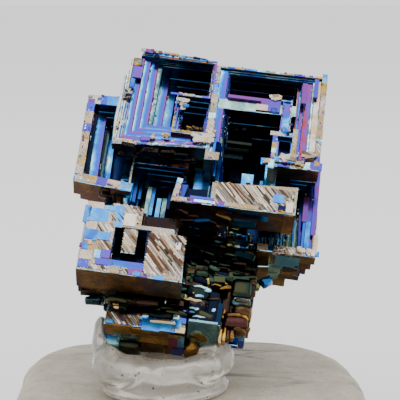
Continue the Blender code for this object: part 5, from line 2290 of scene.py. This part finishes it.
@dataclass
class Studio:
    """The pale floor, the soft lights and the camera."""

    lens: float = 126.0
    distance: float = 0.168
    elevation: float = 8.0
    target: tuple = (0.0016, -0.0020, 0.0318)
    sensor: float = 36.0
    clip_start: float = 0.005
    floor_size: float = 80.0
    floor_gap: float = 0.00002
    aim: tuple = (0.0, 0.0, 0.03)
    softboxes: tuple = (("overhead", (0.0, -0.06, 0.60), (0.60, 0.50), 1.35),
                        ("left", (-0.75, -0.15, 0.30), (0.25, 0.5), 0.8),
                        ("right", (0.75, 0.10, 0.35), (0.25, 0.5), 0.8))
    glow: float = 1.41
    glow_colour: tuple = (0.95, 0.95, 0.955, 1.0)

    def set_camera(self) -> None:
        """Adds the camera, level with the crystal's middle."""
        angle = math.radians(self.elevation)
        away = Vector((0.0, -math.cos(angle), math.sin(angle))) * self.distance
        bpy.ops.object.camera_add(location=Vector(self.target) + away,
                                  rotation=(math.pi / 2 - angle, 0.0, 0.0))
        camera = bpy.context.object
        camera.data.lens = self.lens
        camera.data.sensor_width = self.sensor
        camera.data.clip_start = self.clip_start
        bpy.context.scene.camera = camera

    def lay_floor(self) -> None:
        """Adds the plain pale floor."""
        deselect()
        bpy.ops.mesh.primitive_plane_add(size=self.floor_size,
                                         location=(0.0, 0.0, -self.floor_gap))
        floor = bpy.context.object
        floor.name = "floor"
        bpy.ops.object.transform_apply(location=True, scale=True)
        material, bench, shader = blank_material("pale_floor")
        at = bench.node("ShaderNodeTexCoord").outputs["Object"]
        tone = bench.mix(bench.noise(at, 2.0, 2.0), (0.90, 0.90, 0.90, 1.0),
                         (0.93, 0.93, 0.93, 1.0))
        bench.wire(tone, shader.inputs["Base Color"])
        shader.inputs["Roughness"].default_value = 0.8
        floor.data.materials.append(material)

    def softbox(self, name: str, place_at: tuple, size: tuple, watts: float) -> None:
        """Adds one softbox.

        Args:
            name: its name.
            place_at: where it stands, in metres.
            size: its width and height.
            watts: its power.
        """
        heading = (Vector(self.aim) - Vector(place_at)).to_track_quat("-Z", "Y").to_euler()
        bpy.ops.object.light_add(type="AREA", location=place_at, rotation=heading)
        lamp = bpy.context.object
        lamp.name = name
        lamp.data.shape = "RECTANGLE"
        lamp.data.size, lamp.data.size_y = size
        lamp.data.energy = watts

    def light(self) -> None:
        """Adds the softboxes and the even glow of the room."""
        for softbox in self.softboxes:
            self.softbox(*softbox)
        world = bpy.data.worlds.new("room")
        world.use_nodes = True
        glow = world.node_tree.nodes["Background"]
        glow.inputs["Color"].default_value = self.glow_colour
        glow.inputs["Strength"].default_value = self.glow
        bpy.context.scene.world = world


def finish_piece(piece: bpy.types.Object, material: bpy.types.Material, node: str) -> None:
    """Gives a piece its material and its place in the model.

    Args:
        piece: the piece.
        material: its finish.
        node: the CAD node that it stands for.
    """
    piece.data.materials.clear()
    piece.data.materials.append(material)
    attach(piece, "root")
    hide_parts(node)
    log.info("%s: %d faces, for %s", piece.name, len(piece.data.polygons), node)


def main() -> None:
    """Builds the crystal, the putty, the stone and the studio."""
    logging.basicConfig(level=logging.INFO, format="%(message)s")
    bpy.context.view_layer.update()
    noise.seed_set(NOISE_SEED)
    studio = Studio()
    studio.set_camera()
    pose = Pose()
    effects = SharedEffects()

    cluster_maker = Cluster()
    cluster = cluster_maker.build()
    cluster_maker.paint(cluster)
    cluster_maker.refine(cluster)
    for name in ("mark", "strip"):
        cluster.data.attributes.remove(cluster.data.attributes[name])
    rims = tuple(h for h in CRYSTALS + INNER_CRYSTALS if h.rim)
    ground = BVHTree.FromPolygons([v.co for v in cluster.data.vertices],
                                  [p.vertices for p in cluster.data.polygons])
    chips = RimChips(rims, ground).build()
    plates = RimPlates(rims, ground).build()
    nicks = StepNicks(rims, ground).build()
    growths = SmallGrowths().build()
    ridges = Ridges().build()
    crystal = join([cluster, chips, plates, nicks, growths, ridges], "grown_crystal")
    crystal.data.transform(pose.matrix())
    finish_piece(crystal, OxideFinish().build(effects, pose), "bismuth_crystal")

    putty = MountingPutty().build()
    finish_piece(putty, PuttyFinish().build(effects), "mounting_putty")
    stone = BaseStone().build()
    finish_piece(stone, StoneFinish().build(effects), "base_stone")

    studio.lay_floor()
    studio.light()


if __name__ == "__main__":
    main()
